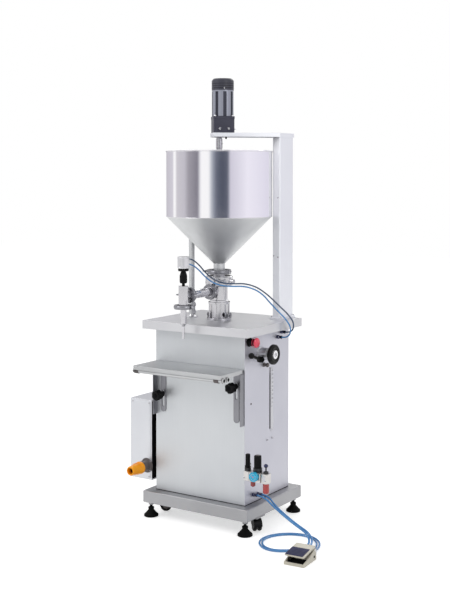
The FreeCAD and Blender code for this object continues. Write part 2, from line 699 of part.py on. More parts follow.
node("pipe_clamps", set_of(
    clamp("ferruleBig", 9, up(d.valveTop), "z", "left"),
    clamp("ferruleSmall", 8, (d.feedX, d.feedY - portOut, d.outletHigh), "-y", "left"),
    clamp("ferruleSmall", 8, (d.feedX, nozzleY + 40, d.outletHigh), "-y", "left"),
    clamp("32", 8, nozzleAt + (spoutLow + 128,), "z", "right")))

# Dosing piston on its rod
node("dosing_piston", turned([
    ("0", "0"), ("rodOut", "0"), ("rodOut", "doseLow + 16 - crossLow - crossTall"),
    ("doseIn - runFit", "doseLow + 16 - crossLow - crossTall"),
    ("doseIn - runFit", "doseLow + 24 - crossLow - crossTall"),
    ("doseIn - 3", "doseLow + 25 - crossLow - crossTall"),
    ("doseIn - 3", "doseLow + pistonTall + 7 - crossLow - crossTall"),
    ("doseIn - runFit", "doseLow + pistonTall + 8 - crossLow - crossTall"),
    ("doseIn - runFit", "doseLow + 16 + pistonTall - crossLow - crossTall"),
    ("0", "doseLow + 16 + pistonTall - crossLow - crossTall")], up(d.crossLow + d.crossTall)))

# Crosshead with the air cylinder's rod and piston
airPistonLow = 170
node("crosshead", join(
    box("150 - feedX + 36", "44", "crossTall", (d.feedX - 36, d.feedY - 22, d.crossLow)),
    rod("rodOut", "crossLow - %s" % airPistonLow, up(airPistonLow)),
    rod("airBore - runFit", "18", up(airPistonLow))))

# Air cylinder on its stand
node("air_cylinder", take(
    join(rounded_block("airSide", "airSide", "400 - airLow", "6", up(d.airLow)),
         rod("20", "airTop - 399", up(399)),
         mid_box("120", "120", "8", up(baseTop + d.sheetWall)),
         mid_box("60", "60", "airLow - baseLow - baseTube - sheetWall", up(baseTop + d.sheetWall))),
    rod("airBore", "390 - airLow - 8", up(d.airLow + 8)),
    rod("rodOut + runFit", "60", up(385))))

# Adjusting screw with its bevel gear, and the stop that rides on it
gearLow = d.wheelHigh - 16
node("lead_screw", join(
    rod("5", "14", (d.screwX, d.wheelY, screwFoot)),
    rod("screwOut", "wheelHigh - 16 - %s" % (screwFoot + 12), (d.screwX, d.wheelY, screwFoot + 12)),
    rod("12", "10", (d.screwX, d.wheelY, gearLow - 10)),
    cone("15.5", "7.5", "8", (d.screwX, d.wheelY, gearLow - d.gap))))

carriage = join(
    box("screwX + 34 - 132", "106", "stopTall", (132, d.wheelY - 24, d.stopHigh)),
    box("17.5", "3", "stopTall - 6", (d.screwX + 34, d.slotY - 1.5, d.stopHigh + 3)))
node("stop_carriage", take(carriage,
                           rod("screwOut + runFit", "stopTall + 2", (d.screwX, d.wheelY, d.stopHigh - 1)),
                           rod("6 + runFit", "stopTall + 2", (d.screwX, guideY, d.stopHigh - 1))))

# Handwheel, its bearing on the panel and its bevel pinion
lever = (d.wheelY - 40, d.wheelHigh - 18)
node("wheel_bearing", take(
    join(turned([("0", "0"), ("bearingOut + 4", "0"), ("bearingOut + 4", "6"), ("bearingOut", "8"),
                 ("bearingOut", "46"), ("bearingOut - 5", "52"), ("0", "52")],
                (cabX, d.wheelY, d.wheelHigh), "x"),
         box("8", "34", "18", (cabX, lever[0], lever[1] - 5)),
         rod("12", "18", (cabX, lever[0], lever[1]), "x"),
         rod("5", "42", (cabX, lever[0], lever[1]), "x")),
    rod("8 + runFit", "60", (cabX - 2, d.wheelY, d.wheelHigh), "x")))
rimNear = d.wheelFar - d.wheelThick / 2 - cabX
wheel = turned([
    ("0", "0 - 45"), ("8", "0 - 45"), ("8", "%s - 2" % rimNear), ("17", "%s - 2" % rimNear),
    ("17", "%s + 3" % rimNear), ("24", "%s + 3" % rimNear), ("26", "%s" % rimNear),
    ("wheelOut - 4", "%s" % rimNear), ("wheelOut", "%s + 4" % rimNear),
    ("wheelOut", "%s + wheelThick - 4" % rimNear), ("wheelOut - 4", "%s + wheelThick" % rimNear),
    ("26", "%s + wheelThick" % rimNear), ("24", "%s + wheelThick - 3" % rimNear),
    ("17", "%s + wheelThick - 3" % rimNear), ("17", "%s + wheelThick + 1" % rimNear),
    ("9", "%s + wheelThick + 1" % rimNear), ("8", "%s + wheelThick - 4" % rimNear),
    ("0", "%s + wheelThick - 4" % rimNear)], (cabX, d.wheelY, d.wheelHigh), "x")
node("handwheel", join(
    wheel,
    cone("7.5", "15.5", "8", (d.screwX + 8 + d.gap, d.wheelY, d.wheelHigh), "x"),
    rod("12", "6", (d.screwX + 16 + d.gap, d.wheelY, d.wheelHigh), "x")))

# Clamp lever beside the handwheel
ballAt = (lever[0] - 70, lever[1] + 24)
reach = math.hypot(ballAt[0] - lever[0], ballAt[1] - lever[1])
lean = math.degrees(math.atan2(ballAt[1] - lever[1], ballAt[0] - lever[0]))
armLean = Rotation(Vector(1, 0, 0), lean) * TURN["y"]
handle = cone("7", "5", str(round(reach, 3)), (0, 0, 0))
handle.Placement = Placement(Vector(249, lever[0], lever[1]), armLean)
node("clamp_lever", take(
    join(rod("12", "20", (cabX + 18 + d.gap, lever[0], lever[1]), "x"),
         rod("7", "5", (cabX + 38, lever[0], lever[1]), "x"),
         handle, ball("12", (249,) + ballAt)),
    rod("5 + runFit", "25", (cabX + 17.5, lever[0], lever[1]), "x")))

# Emergency stop: fixed base and pressed head
stopAt = (-141, 763)
node("e_stop_base", take(
    turned([("0", "0"), ("17", "0"), ("17", "3"), ("15", "4"), ("15", "22"), ("13", "24"), ("0", "24")],
           (cabX, stopAt[0], stopAt[1]), "x"),
    rod("6 + runFit", "22", (cabX + 3, stopAt[0], stopAt[1]), "x")))
node("e_stop_head", turned([
    ("0", "0"), ("6", "0"), ("6", "20"), ("stopRed - 3", "20"), ("stopRed", "23"), ("stopRed", "27"),
    ("stopRed - 4", "31"), ("0", "33")], (cabX + 10, stopAt[0], stopAt[1]), "x"))

# Air unit on the panel's lower front corner
frlLow = d.frlHigh - 18
frlY = -cabY - d.frlOut
frlIn, frlBowl, frlMid, frlFar = (cabX + out for out in (20, 42, 64, 102))
silver = join(
    rounded_block("26", "frlThick", "36", "4", (frlIn, frlY, frlLow)),
    rounded_block("52", "frlThick + 4", "36", "4", (frlMid - 4, frlY, frlLow)),
    rounded_block("28", "frlThick", "36", "4", (frlFar, frlY, frlLow)),
    mid_box("100", "18", "22", (frlMid, frlY, frlLow + 7)),
    box("18", "16", "20", (cabX, frlY, frlLow + 8)),
    box("3", "42", "50", (cabX, -cabY, frlLow + 3)),
    rod("13", "12", (frlIn - 2, frlY, frlLow + 36)),
    rod("18", "17", (frlMid, frlY, frlLow + 36)),
    rod("10", "8", (frlFar, frlY, frlLow + 36)),
    rod("3", "30", (frlFar, frlY, frlLow + 40)),
    ball("8", (frlFar, frlY, frlLow + 66)))
node("frl_body", silver)
gaugeY = frlY - d.frlThick / 2 - 2
node("pressure_gauge", turned([
    ("0", "0"), ("5", "0"), ("5", "4"), ("17", "4"), ("19", "6"), ("19", "16"), ("17.5", "18"), ("16", "17"),
    ("0", "17")], (frlMid, gaugeY, frlLow + 24), "-y"))
bowls = []
for x, wide, long in ((frlBowl, 9.5, 24), (frlFar, 12, 43)):
    bowls.append(turned([
        ("0", "0"), ("%s - 4" % wide, "0"), (str(wide), "4"), (str(wide), str(long)), ("0", str(long))],
        (x, frlY, frlLow - long)))
node("frl_bowls", set_of(*bowls))


def fluted_knob(wide, tall, grooves, at):
    """A grip with upright grooves, standing on a short spigot."""
    body = turned([
        ("0", "0"), (str(wide), "0"), (str(wide), "%s - 3" % tall), ("%s - 3" % wide, str(tall)),
        ("0", str(tall))], at)
    groove = pocketed(body, [("%s - 0.8" % wide, "-0.9"), ("%s + 2" % wide, "-0.9"),
                             ("%s + 2" % wide, "0.9"), ("%s - 0.8" % wide, "0.9")], "%s - 5" % tall)
    return repeated(body, groove, grooves)


node("inlet_knob", fluted_knob(9.5, 55, 12, (frlIn - 2, frlY, frlLow + 48 + d.gap)))
node("regulator_knob", fluted_knob(14.75, 50, 18, (frlMid, frlY, frlLow + 53 + d.gap)))

# Push-in tube fittings on the panel
upperPorts = [(108, 775), (80, 757)]
lowerPorts = [(-113, 143), (-76, 137)]
fittings = []
for y, z in upperPorts + lowerPorts:
    fittings.append(join(hex_nut("14", "9", (cabX, y, z), "x"), rod("6", "20", (cabX, y, z), "x")))
node("tube_fittings", set_of(*fittings))

# Electric box on stand-offs beside the cabinet, with its socket and plug
boxRight = -cabX - d.boxGap
plugAt = (-269, 204)
casing = take(
    mid_box("boxLong", "boxDeep", "boxTall", (boxRight - d.boxLong / 2, d.boxDeep / 2 - cabY, d.boxLow)),
    mid_box("boxLong - 2*sheetWall", "boxDeep - 2*sheetWall", "boxTall - 2*sheetWall",
            (boxRight - d.boxLong / 2, d.boxDeep / 2 - cabY, d.boxLow + d.sheetWall)))
spacers = [rod("14", "boxGap", (-cabX, -40, 300), "-x")]
for y, z in ((-140, 440), (60, 440), (60, 190)):
    spacers.append(rod("8", "boxGap", (-cabX, y, z), "-x"))
node("electric_box", take(join(casing, *spacers), rod("10", "boxGap + 4", (-cabX + 1, -40, 300), "-x")))
plugStart = -cabY - 44
node("power_socket", turned([
    ("0", "0"), ("25", "0"), ("25", "5"), ("22", "6"), ("22", "38"), ("24", "40"), ("24", "44"),
    ("19 + runFit", "44"), ("19 + runFit", "10"), ("0", "10")], (plugAt[0], -cabY, plugAt[1]), "-y"))
node("power_plug", turned([
    ("0", "0"), ("19", "0"), ("19", "30 + gap"), ("plugOut", "30 + gap"), ("plugOut", "44"),
    ("plugOut - 2", "47"), ("plugOut - 2", "76"), ("plugOut - 12", "plugLong + 22"),
    ("plugOut - 12", "plugLong + 30"), ("8", "plugLong + 30"), ("8", "plugLong + 10"),
    ("0", "plugLong + 10")], (plugAt[0], plugStart + 30, plugAt[1]), "-y"))

# Work shelf: a folded tray with two bars under its front
shelfBack = -cabY - 3 - d.gap
shelfLow = d.shelfTop - d.shelfFold
tray = rounded_block("shelfLong - 4", "shelfDeep", "shelfFold", "5",
                     (0, shelfBack - d.shelfDeep / 2, shelfLow))
tray = hollowed(tray, "sheetWall",
                lambda face: face.CenterOfMass.z < 0.01 and abs(face.normalAt(0, 0).z) > 0.9)
front = shelfBack - d.shelfDeep
bars = [rod("railOut", "shelfLong + 8", (-d.shelfLong / 2 - 4, front + off, shelfLow - 5), "x")
        for off in (16, 46)]
node("work_shelf", join(tray, *bars))

# Slotted brackets under the shelf
brackets = []
for side, x, z in studs:
    sx = -1 if side == "left" else 1
    low = z - 45 - 30 if side == "left" else 439
    web = [box("36", "3", "shelfTop - 4 - 600", (x if sx > 0 else x - 36, -cabY - 3 - d.gap, 600)),
           box("slotWide", "3", "shelfTop - 4 - %s" % (low + 13),
               (x - d.slotWide / 2, -cabY - 3 - d.gap, low + 13)),
           rod("slotWide/2", "3", (x, -cabY - d.gap, low + 13), "-y"),
           box("3", "28", "shelfTop - shelfFold - 432",
               (sx * (d.shelfLong / 2 + 1) - (3 if sx > 0 else 0), -cabY - 28 - d.gap, 432))]
    slotLow = z - 45 - 6
    slot = [box("12", "5", "57", (x - 6, -cabY - 4 - d.gap, z - 46)),
            rod("6", "5", (x, -cabY + 1 - d.gap, z - 46), "-y"),
            rod("6", "5", (x, -cabY + 1 - d.gap, z + 11), "-y")]
    brackets.append(take(join(*web), *slot))
node("shelf_brackets", set_of(*brackets))

# Star knobs that clamp the brackets on the cabinet's studs
for side, x, z in studs:
    star = turned([
        ("5 + runFit", "0"), ("11", "0"), ("11", "20"), ("starOut - 3", "24"), ("starOut", "27"),
        ("starOut", "20 + starLong - 4"), ("starOut - 4", "20 + starLong"), ("0", "20 + starLong"),
        ("0", "42"), ("5 + runFit", "42")], (x, -cabY - 3 - 2 * d.gap, z), "-y")
    lobe = pocketed(star, [("starOut - 5", "-5"), ("starOut + 6", "-9"),
                           ("starOut + 6", "9"), ("starOut - 5", "5")], "60")
    repeated(star, lobe, 6)
    node("star_knob_" + side, star)

# Pedal: a base open at the front, with two cheeks that carry a treadle hinged at the back
pedalSpin = Rotation(Vector(0, 0, 1), d.pedalTurn)


def on_pedal(x, y, z):
    """A place given from the middle of the pedal's underside."""
    return pedalSpin.multVec(Vector(x, y, z)) + Vector(d.pedalX, d.pedalY, 0)


def stand_pedal(whole):
    """Turns and moves a finished pedal piece to where it lies."""
    whole.Placement = Placement(on_pedal(0, 0, 0), pedalSpin)
    return whole


half = d.pedalLong / 2
back = d.pedalDeep / 2
pin = (back - 11, 37)
cheek = [("0 - pedalDeep/2", "0"), ("pedalDeep/2", "0"), ("pedalDeep/2", "39"),
         ("pedalDeep/2 - 5", "42"), ("pedalDeep/2 - 17", "42"), ("pedalDeep/2 - 30", "34"),
         ("8 - pedalDeep/2", "13"), ("0 - pedalDeep/2", "10")]
pieces = [
    box("pedalLong", "pedalDeep", "5", (-half, -back, 0)),
    plate(cheek, "5", (-half, 0, 0), "yz"),
    plate(cheek, "5", (half - 5, 0, 0), "yz"),
    box("pedalLong - 8", "4", "34", (-half + 4, back - 4, 4)),
    box("60", "42", "22", (-30, back - 42, 4)),
    rod("5", "11", (0, back - 34, 25)),
    box("pedalLong - 8", "4", "7", (-half + 4, -back, 4)),
    rod("3", "pedalLong - 4", (-half + 2, pin[0], pin[1]), "x")]
ports = (-10, 2)
for x in ports:
    pieces.append(rod("5.5", "11", (x, back - 1, 20), "y"))
node("pedal_base", stand_pedal(join(*pieces)))
top = [("3 - pedalDeep/2", "33"), ("pedalDeep/2 - 3", "pedalTall - 5"),
       ("pedalDeep/2 - 3", "pedalTall"), ("3 - pedalDeep/2", "38")]
treadle = take(
    join(plate(top, "pedalLong - 4", (-half + 2, 0, 0), "yz"),
         rod("5.5", "pedalLong - 11", (-half + 5.5, pin[0], pin[1]), "x"),
         box("pedalLong - 11", "6", "10", (-half + 5.5, pin[0] - 3, pin[1]))),
    rod("3 + runFit", "pedalLong", (-half, pin[0], pin[1]), "x"))
node("pedal_treadle", stand_pedal(treadle))


# Air tubes: straight runs joined by tangent arcs
def corner_arc(before, at, after):
    """The arc that rounds one corner of a route, as start, middle and end."""
    inward = (before - at).normalize()
    onward = (after - at).normalize()
    turn = math.pi - inward.getAngle(onward)
    shorter = min(before.distanceToPoint(at), after.distanceToPoint(at))
    trim = 0.45 * shorter
    radius = trim / math.tan(turn / 2)
    split = (inward + onward).normalize()
    centre = at + split * (radius / math.cos(turn / 2))
    return at + inward * trim, centre - split * radius, at + onward * trim, radius


def air_tube(name, radius, route):
    points = [Vector(*point) for point in route]
    edges = []
    radii = []
    last = points[0]
    for i in range(1, len(points) - 1):
        start, middle, end, bend = corner_arc(points[i - 1], points[i], points[i + 1])
        edges.append(Part.makeLine(last, start))
        edges.append(Part.Arc(start, middle, end).toShape())
        radii.append(bend)
        last = end
    edges.append(Part.makeLine(last, points[-1]))
    spine = doc.addObject("Part::Feature", "route")
    spine.Shape = Part.Wire(edges)
    ring = doc.addObject("Part::Circle", "section")
    bind(ring, Radius=radius)
    ring.Placement = Placement(points[0], Rotation(Vector(0, 0, 1), points[1] - points[0]))
    sweep = doc.addObject("Part::Sweep", "tube")
    sweep.Sections = [ring]
    sweep.Spine = (spine, [])
    sweep.Solid = True
    node(name, sweep)
    print("cord", name, "smallest bend", round(min(radii), 1), "mm, length", round(spine.Shape.Length, 1))


# The route's ends sit on the fittings; the rest lies as the photo shows it
upperRear = [
    (-12, -234, 1091), (-12, -212, 1091), (-2, -176, 1068), (8, -140, 1030), (26, -108, 1000),
    (60, -88, 985), (104, -74, 984), (146, -54, 986), (180, -24, 972), (200, 8, 948), (214, 40, 922),
    (238, 68, 886), (266, 86, 855), (285, 97, 825), (284, 104, 801.5), (275.5, 107.5, 784.5),
    (259, 108, 775), (240, 108, 775)]
upperFront = [
    (-12, -234, 1069), (-12, -212, 1069), (-3, -176, 1047), (6, -141, 1014), (24, -112, 988),
    (58, -94, 975), (103, -82, 974), (146, -63, 976), (182, -33, 962), (203, -1, 936), (214, 27, 905),
    (237, 52, 870), (266, 66, 838), (285, 74, 807.5), (284, 79, 783.5), (275.5, 80, 766.5),
    (259, 80, 757), (240, 80, 757)]
air_tube("air_tube_rear", "tubeAir", upperRear)
air_tube("air_tube_front", "tubeAir", upperFront)
portEnds = [on_pedal(x, back + 10, 20) for x in ports]
portNears = [on_pedal(x, back + 34, 20) for x in ports]
pedalFront = [
    (240, -113, 143), (272, -113, 143), (319.3, -118.5, 114), (375.4, -125.5, 84), (432.2, -130.5, 58),
    (475.3, -123.8, 34), (500.9, -145.9, 14), (508.3, -185.7, 4), (496.1, -226.1, 4), (464.6, -257.6, 4),
    (422.8, -282.3, 4), (380.3, -276.8, 4), (344.5, -246.6, 4), (325.5, -203.9, 4), (327.4, -157.5, 4),
    (350.3, -115.5, 4), (386.7, -85, 4), (432.1, -71.7, 4), (477.4, -83, 4), (513.6, -113.5, 4),
    (535.8, -155, 4), (546.7, -199.3, 5), portNears[0], portEnds[0]]
pedalRear = [
    (240, -76, 137), (272, -76, 137), (320.7, -107.5, 114), (376.6, -114.5, 84), (431.8, -119.5, 58),
    (478.7, -112.2, 34), (511.1, -140.1, 14), (519.7, -186.3, 4), (505.9, -231.9, 4), (471.4, -266.4, 4),
    (425.2, -293.7, 4), (375.7, -287.2, 4), (335.5, -253.4, 4), (314.5, -206.1, 4), (316.6, -154.5, 4),
    (341.7, -108.5, 4), (381.3, -75, 4), (431.9, -60.3, 4), (482.6, -73, 4), (522.4, -106.5, 4),
    (546.2, -151, 4), (557.3, -196.7, 5), portNears[1], portEnds[1]]
air_tube("pedal_tube_front", "tubePedal", pedalFront)
air_tube("pedal_tube_rear", "tubePedal", pedalRear)

# Stirrer: shaft, coupling and two pairs of blades
blades = []
for z, blade in ((d.coneTop + 14, d.stirReach), (d.coneLow + 128, 92)):
    blades.append(box(str(2 * blade), "6", "26", (d.feedX - blade, d.feedY - 3, z)))
blades.append(box("6", "2*stirReach", "26", (d.feedX - 3, d.feedY - d.stirReach, d.coneTop + 74)))
node("stirrer", join(
    rod("stirShaft", "armTop + 38 - coneLow - 122", up(d.coneLow + 122)),
    rod("stirShaft + 1.5", "40", up(d.hopperTop + 10)),
    *blades))

doc.recompute()
for thing in doc.Objects:
    if "Invalid" in thing.State or "Error" in thing.State:
        raise RuntimeError("%s (%s) did not build: %s" % (thing.Label, thing.Name, thing.ExpressionEngine))
os.makedirs("parts", exist_ok=True)
total = 0
for name, thing in parts.items():
    shape = thing.Shape
    if shape.isNull() or not shape.isValid():
        raise RuntimeError("%s has no valid shape" % name)
    shape.exportStep("parts/%s.step" % name)
    facets = len(shape.tessellate(0.5)[1])
    total += facets
    size = shape.BoundBox
    print("%-22s solids %d  faces %3d  facets %4d  box %.0f %.0f %.0f to %.0f %.0f %.0f" % (
        name, len(shape.Solids), len(shape.Faces), facets,
        size.XMin, size.YMin, size.ZMin, size.XMax, size.YMax, size.ZMax))
print("nodes", len(parts), "facets", total)
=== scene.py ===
import math

import bmesh
import bpy
from mathutils import Matrix, Vector


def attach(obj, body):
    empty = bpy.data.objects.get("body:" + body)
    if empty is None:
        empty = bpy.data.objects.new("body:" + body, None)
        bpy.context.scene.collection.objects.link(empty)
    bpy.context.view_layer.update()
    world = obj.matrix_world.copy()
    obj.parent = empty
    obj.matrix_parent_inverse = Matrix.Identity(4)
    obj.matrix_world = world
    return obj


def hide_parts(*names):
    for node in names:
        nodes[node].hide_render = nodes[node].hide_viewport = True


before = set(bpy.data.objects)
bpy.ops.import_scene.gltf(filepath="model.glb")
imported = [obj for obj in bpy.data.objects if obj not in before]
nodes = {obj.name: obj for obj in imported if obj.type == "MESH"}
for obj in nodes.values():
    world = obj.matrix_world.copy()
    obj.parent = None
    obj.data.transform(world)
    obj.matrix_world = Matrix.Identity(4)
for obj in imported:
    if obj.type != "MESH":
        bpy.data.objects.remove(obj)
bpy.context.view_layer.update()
scene = bpy.context.scene
print("frame loaded,", len(nodes), "nodes")

# camera at the photograph's angle, for a 450 x 600 frame
cameraSpec = {
    "place": (2.5402, -3.83106, 1.4269),
    "heading": 33.4238,     # degrees left of +Y
    "dip": 1.79991,         # degrees below level, which leaves the uprights all but upright
    "lens": 65.86146,
    "shiftUp": -0.15,
}
cameraData = bpy.data.cameras.new("photoCamera")
cameraData.lens = cameraSpec["lens"]
cameraData.sensor_width = 36
cameraData.shift_y = cameraSpec["shiftUp"]
cameraData.clip_end = 60
camera = bpy.data.objects.new("photoCamera", cameraData)
camera.location = cameraSpec["place"]
camera.rotation_euler = (math.radians(90 - cameraSpec["dip"]), 0, math.radians(cameraSpec["heading"]))
scene.collection.objects.link(camera)
scene.camera = camera
scene.view_settings.view_transform = "Standard"


# shader effects that several finishes share

def feedSocket(tree, socket, value):
    if isinstance(value, bpy.types.NodeSocket):
        tree.links.new(value, socket)
    else:
        socket.default_value = value


def addNode(tree, kind, feeds=None, **settings):
    # feeds gives a value or a source for each input, by its name or number
    node = tree.nodes.new("ShaderNode" + kind)
    for label, setting in settings.items():
        setattr(node, label, setting)
    for label, value in (feeds or {}).items():
        feedSocket(tree, node.inputs[label], value)
    return node


def mathNode(tree, operation, *values):
    return addNode(tree, "Math", dict(enumerate(values)), operation=operation).outputs[0]


def vectorNode(tree, operation, *values):
    node = addNode(tree, "VectorMath", dict(enumerate(values)), operation=operation)
    return node.outputs["Value" if operation in ("LENGTH", "DOT_PRODUCT") else "Vector"]


def mixNode(tree, mask, first, second):
    # two numbers, or two colours in linear light, either of which may be a source
    if isinstance(second, float):
        return addNode(tree, "Mix", {"Factor": mask, 2: first, 3: second}).outputs[0]
    pair = [tone if isinstance(tone, bpy.types.NodeSocket) else (*tone, 1) for tone in (first, second)]
    return addNode(tree, "Mix", {"Factor": mask, 6: pair[0], 7: pair[1]}, data_type="RGBA").outputs[2]


def newGroup(name, inputs, *outputs):
    group = bpy.data.node_groups.new(name, "ShaderNodeTree")
    for label, value in inputs.items():
        kind = "NodeSocketFloat" if isinstance(value, float) else "NodeSocketVector"
        group.interface.new_socket(label, in_out="INPUT", socket_type=kind).default_value = value
    for label in outputs:
        group.interface.new_socket(label, in_out="OUTPUT", socket_type="NodeSocketFloat")
    return group, group.nodes.new("NodeGroupInput").outputs, group.nodes.new("NodeGroupOutput").inputs


def makeGrainGroup():
    # lines drawn out along one way, as a finishing belt leaves them
    group, given, made = newGroup("beltGrain", {"Place": (0, 0, 0), "Stretch": (1, 1, 1), "Amount": 0.1},
                                  "Height", "Spread")
    stretched = vectorNode(group, "MULTIPLY", given["Place"], given["Stretch"])
    noise = addNode(group, "TexNoise", {"Vector": stretched, "Scale": 1, "Detail": 4, "Roughness": 0.62})
    group.links.new(noise.outputs["Fac"], made["Height"])
    centred = mathNode(group, "SUBTRACT", noise.outputs["Fac"], 0.5)
    group.links.new(mathNode(group, "MULTIPLY", centred, given["Amount"]), made["Spread"])
    return group


def makeSmudgeGroup():
    # broad cloudy patches, for handled metal and uneven paint
    group, given, made = newGroup("smudge", {"Place": (0, 0, 0), "Size": 6.0, "Low": 0.35, "High": 0.7}, "Mask")
    noise = addNode(group, "TexNoise", {"Vector": given["Place"], "Scale": given["Size"], "Detail": 3})
    ramp = addNode(group, "MapRange", {"Value": noise.outputs["Fac"], "From Min": given["Low"],
                                       "From Max": given["High"]}, interpolation_type="SMOOTHSTEP")
    group.links.new(ramp.outputs["Result"], made["Mask"])
    return group


def makePebbleGroup():
    # fine pebbled skin of moulded plastic, rubber and cast metal
    group, given, made = newGroup("pebble", {"Place": (0, 0, 0), "Size": 900.0}, "Height")
    cells = addNode(group, "TexVoronoi", {"Vector": given["Place"], "Scale": given["Size"]}, feature="SMOOTH_F1")
    group.links.new(cells.outputs["Distance"], made["Height"])
    return group


def makeEdgeGroup():
    # where the surface turns sharply: worn corners and edges
    group, given, made = newGroup("edgeWear", {"Width": 0.002, "Strength": 3.0}, "Mask")
    bevel = addNode(group, "Bevel", {"Radius": given["Width"]}, samples=4)
    geometry = addNode(group, "NewGeometry")
    likeness = vectorNode(group, "DOT_PRODUCT", bevel.outputs["Normal"], geometry.outputs["Normal"])
    turned = mathNode(group, "MULTIPLY", mathNode(group, "SUBTRACT", 1.0, likeness), given["Strength"])
    group.links.new(mathNode(group, "MINIMUM", turned, 1.0), made["Mask"])
    return group


grainGroup = makeGrainGroup()
smudgeGroup = makeSmudgeGroup()
pebbleGroup = makePebbleGroup()
edgeGroup = makeEdgeGroup()


def linear(colour, gain=1.0, lift=0.0):
    # colours are written as they look on screen
    plain = (c / 12.92 if c <= 0.04045 else ((c + 0.055) / 1.055) ** 2.4 for c in colour)
    return tuple(min(1, c * gain + lift) for c in plain)


class Finish:
    # a material with its principled shader, built up from the shared effects
    def __init__(self, name):
        self.material = bpy.data.materials.new(name)
        self.material.use_nodes = True
        self.tree = self.material.node_tree
        self.shader = self.tree.nodes["Principled BSDF"]
        self.place = addNode(self.tree, "TexCoord").outputs["Object"]

    def feed(self, **values):
        # a shader input's name is written here without its spaces
        for socket in self.shader.inputs:
            if socket.name.replace(" ", "") in values:
                feedSocket(self.tree, socket, values[socket.name.replace(" ", "")])

    def effect(self, group, **values):
        node = addNode(self.tree, "Group", values, node_tree=group)
        if "Place" in node.inputs:
            feedSocket(self.tree, node.inputs["Place"], self.place)
        return node.outputs

    def blend(self, mask, first, second):
        # numbers, or colours as they look on screen
        pair = [linear(tone) if isinstance(tone, tuple) else tone for tone in (first, second)]
        return mixNode(self.tree, mask, *pair)

    def height(self, value, strength, depth, rounding):
        bevel = addNode(self.tree, "Bevel", {"Radius": rounding}, samples=4)
        bump = addNode(self.tree, "Bump", {"Strength": strength, "Distance": depth, "Height": value,
                                           "Normal": bevel.outputs["Normal"]})
        self.feed(Normal=bump.outputs["Normal"])

    def rise(self, value, low, high):
        # a mask that goes from 0 to 1 as the value goes from low to high
        feeds = {"Value": value, "From Min": low, "From Max": high}
        return addNode(self.tree, "MapRange", feeds).outputs["Result"]

    def along(self, axis, low, high):
        split = addNode(self.tree, "SeparateXYZ", {0: self.place})
        return self.rise(split.outputs["XYZ".index(axis)], low, high)

    def reach(self, centre, weights, near, far):
        # by the distance from an axis or a point
        gap = vectorNode(self.tree, "SUBTRACT", self.place, centre)
        flat = vectorNode(self.tree, "MULTIPLY", gap, weights)
        return self.rise(vectorNode(self.tree, "LENGTH", flat), near, far)


def brushedMetal(name, colour, shade, rough, stretch, spread=0.25, rounding=0.0015):
    made = Finish(name)
    grain = made.effect(grainGroup, Stretch=stretch, Amount=spread)
    cloud = made.effect(smudgeGroup, Size=3.0, Low=0.3, High=0.75)["Mask"]
    edge = made.effect(edgeGroup, Width=0.0025, Strength=2.0)["Mask"]
    made.feed(BaseColor=mixNode(made.tree, edge, made.blend(cloud, colour, shade), linear(colour, gain=1.12)),
              Roughness=mathNode(made.tree, "ADD", grain["Spread"], rough), Metallic=1.0)
    made.height(grain["Height"], 0.35, 0.00004, rounding)
    return made


def moulded(name, colour, shade, rough, size=900.0, depth=0.00003, coat=0.0, shine=0.5):
    made = Finish(name)
    skin = made.effect(pebbleGroup, Size=size)["Height"]
    cloud = made.effect(smudgeGroup, Size=14.0, Low=0.35, High=0.75)["Mask"]
    edge = made.effect(edgeGroup, Width=0.0012, Strength=1.2)["Mask"]
    worn = linear(colour, gain=1.5, lift=0.01)
    made.feed(BaseColor=mixNode(made.tree, edge, made.blend(cloud, colour, shade), worn),
              Roughness=made.blend(cloud, rough, rough + 0.08), CoatWeight=coat, SpecularIORLevel=shine)
    made.height(skin, 0.3, depth, 0.0008)
    return made


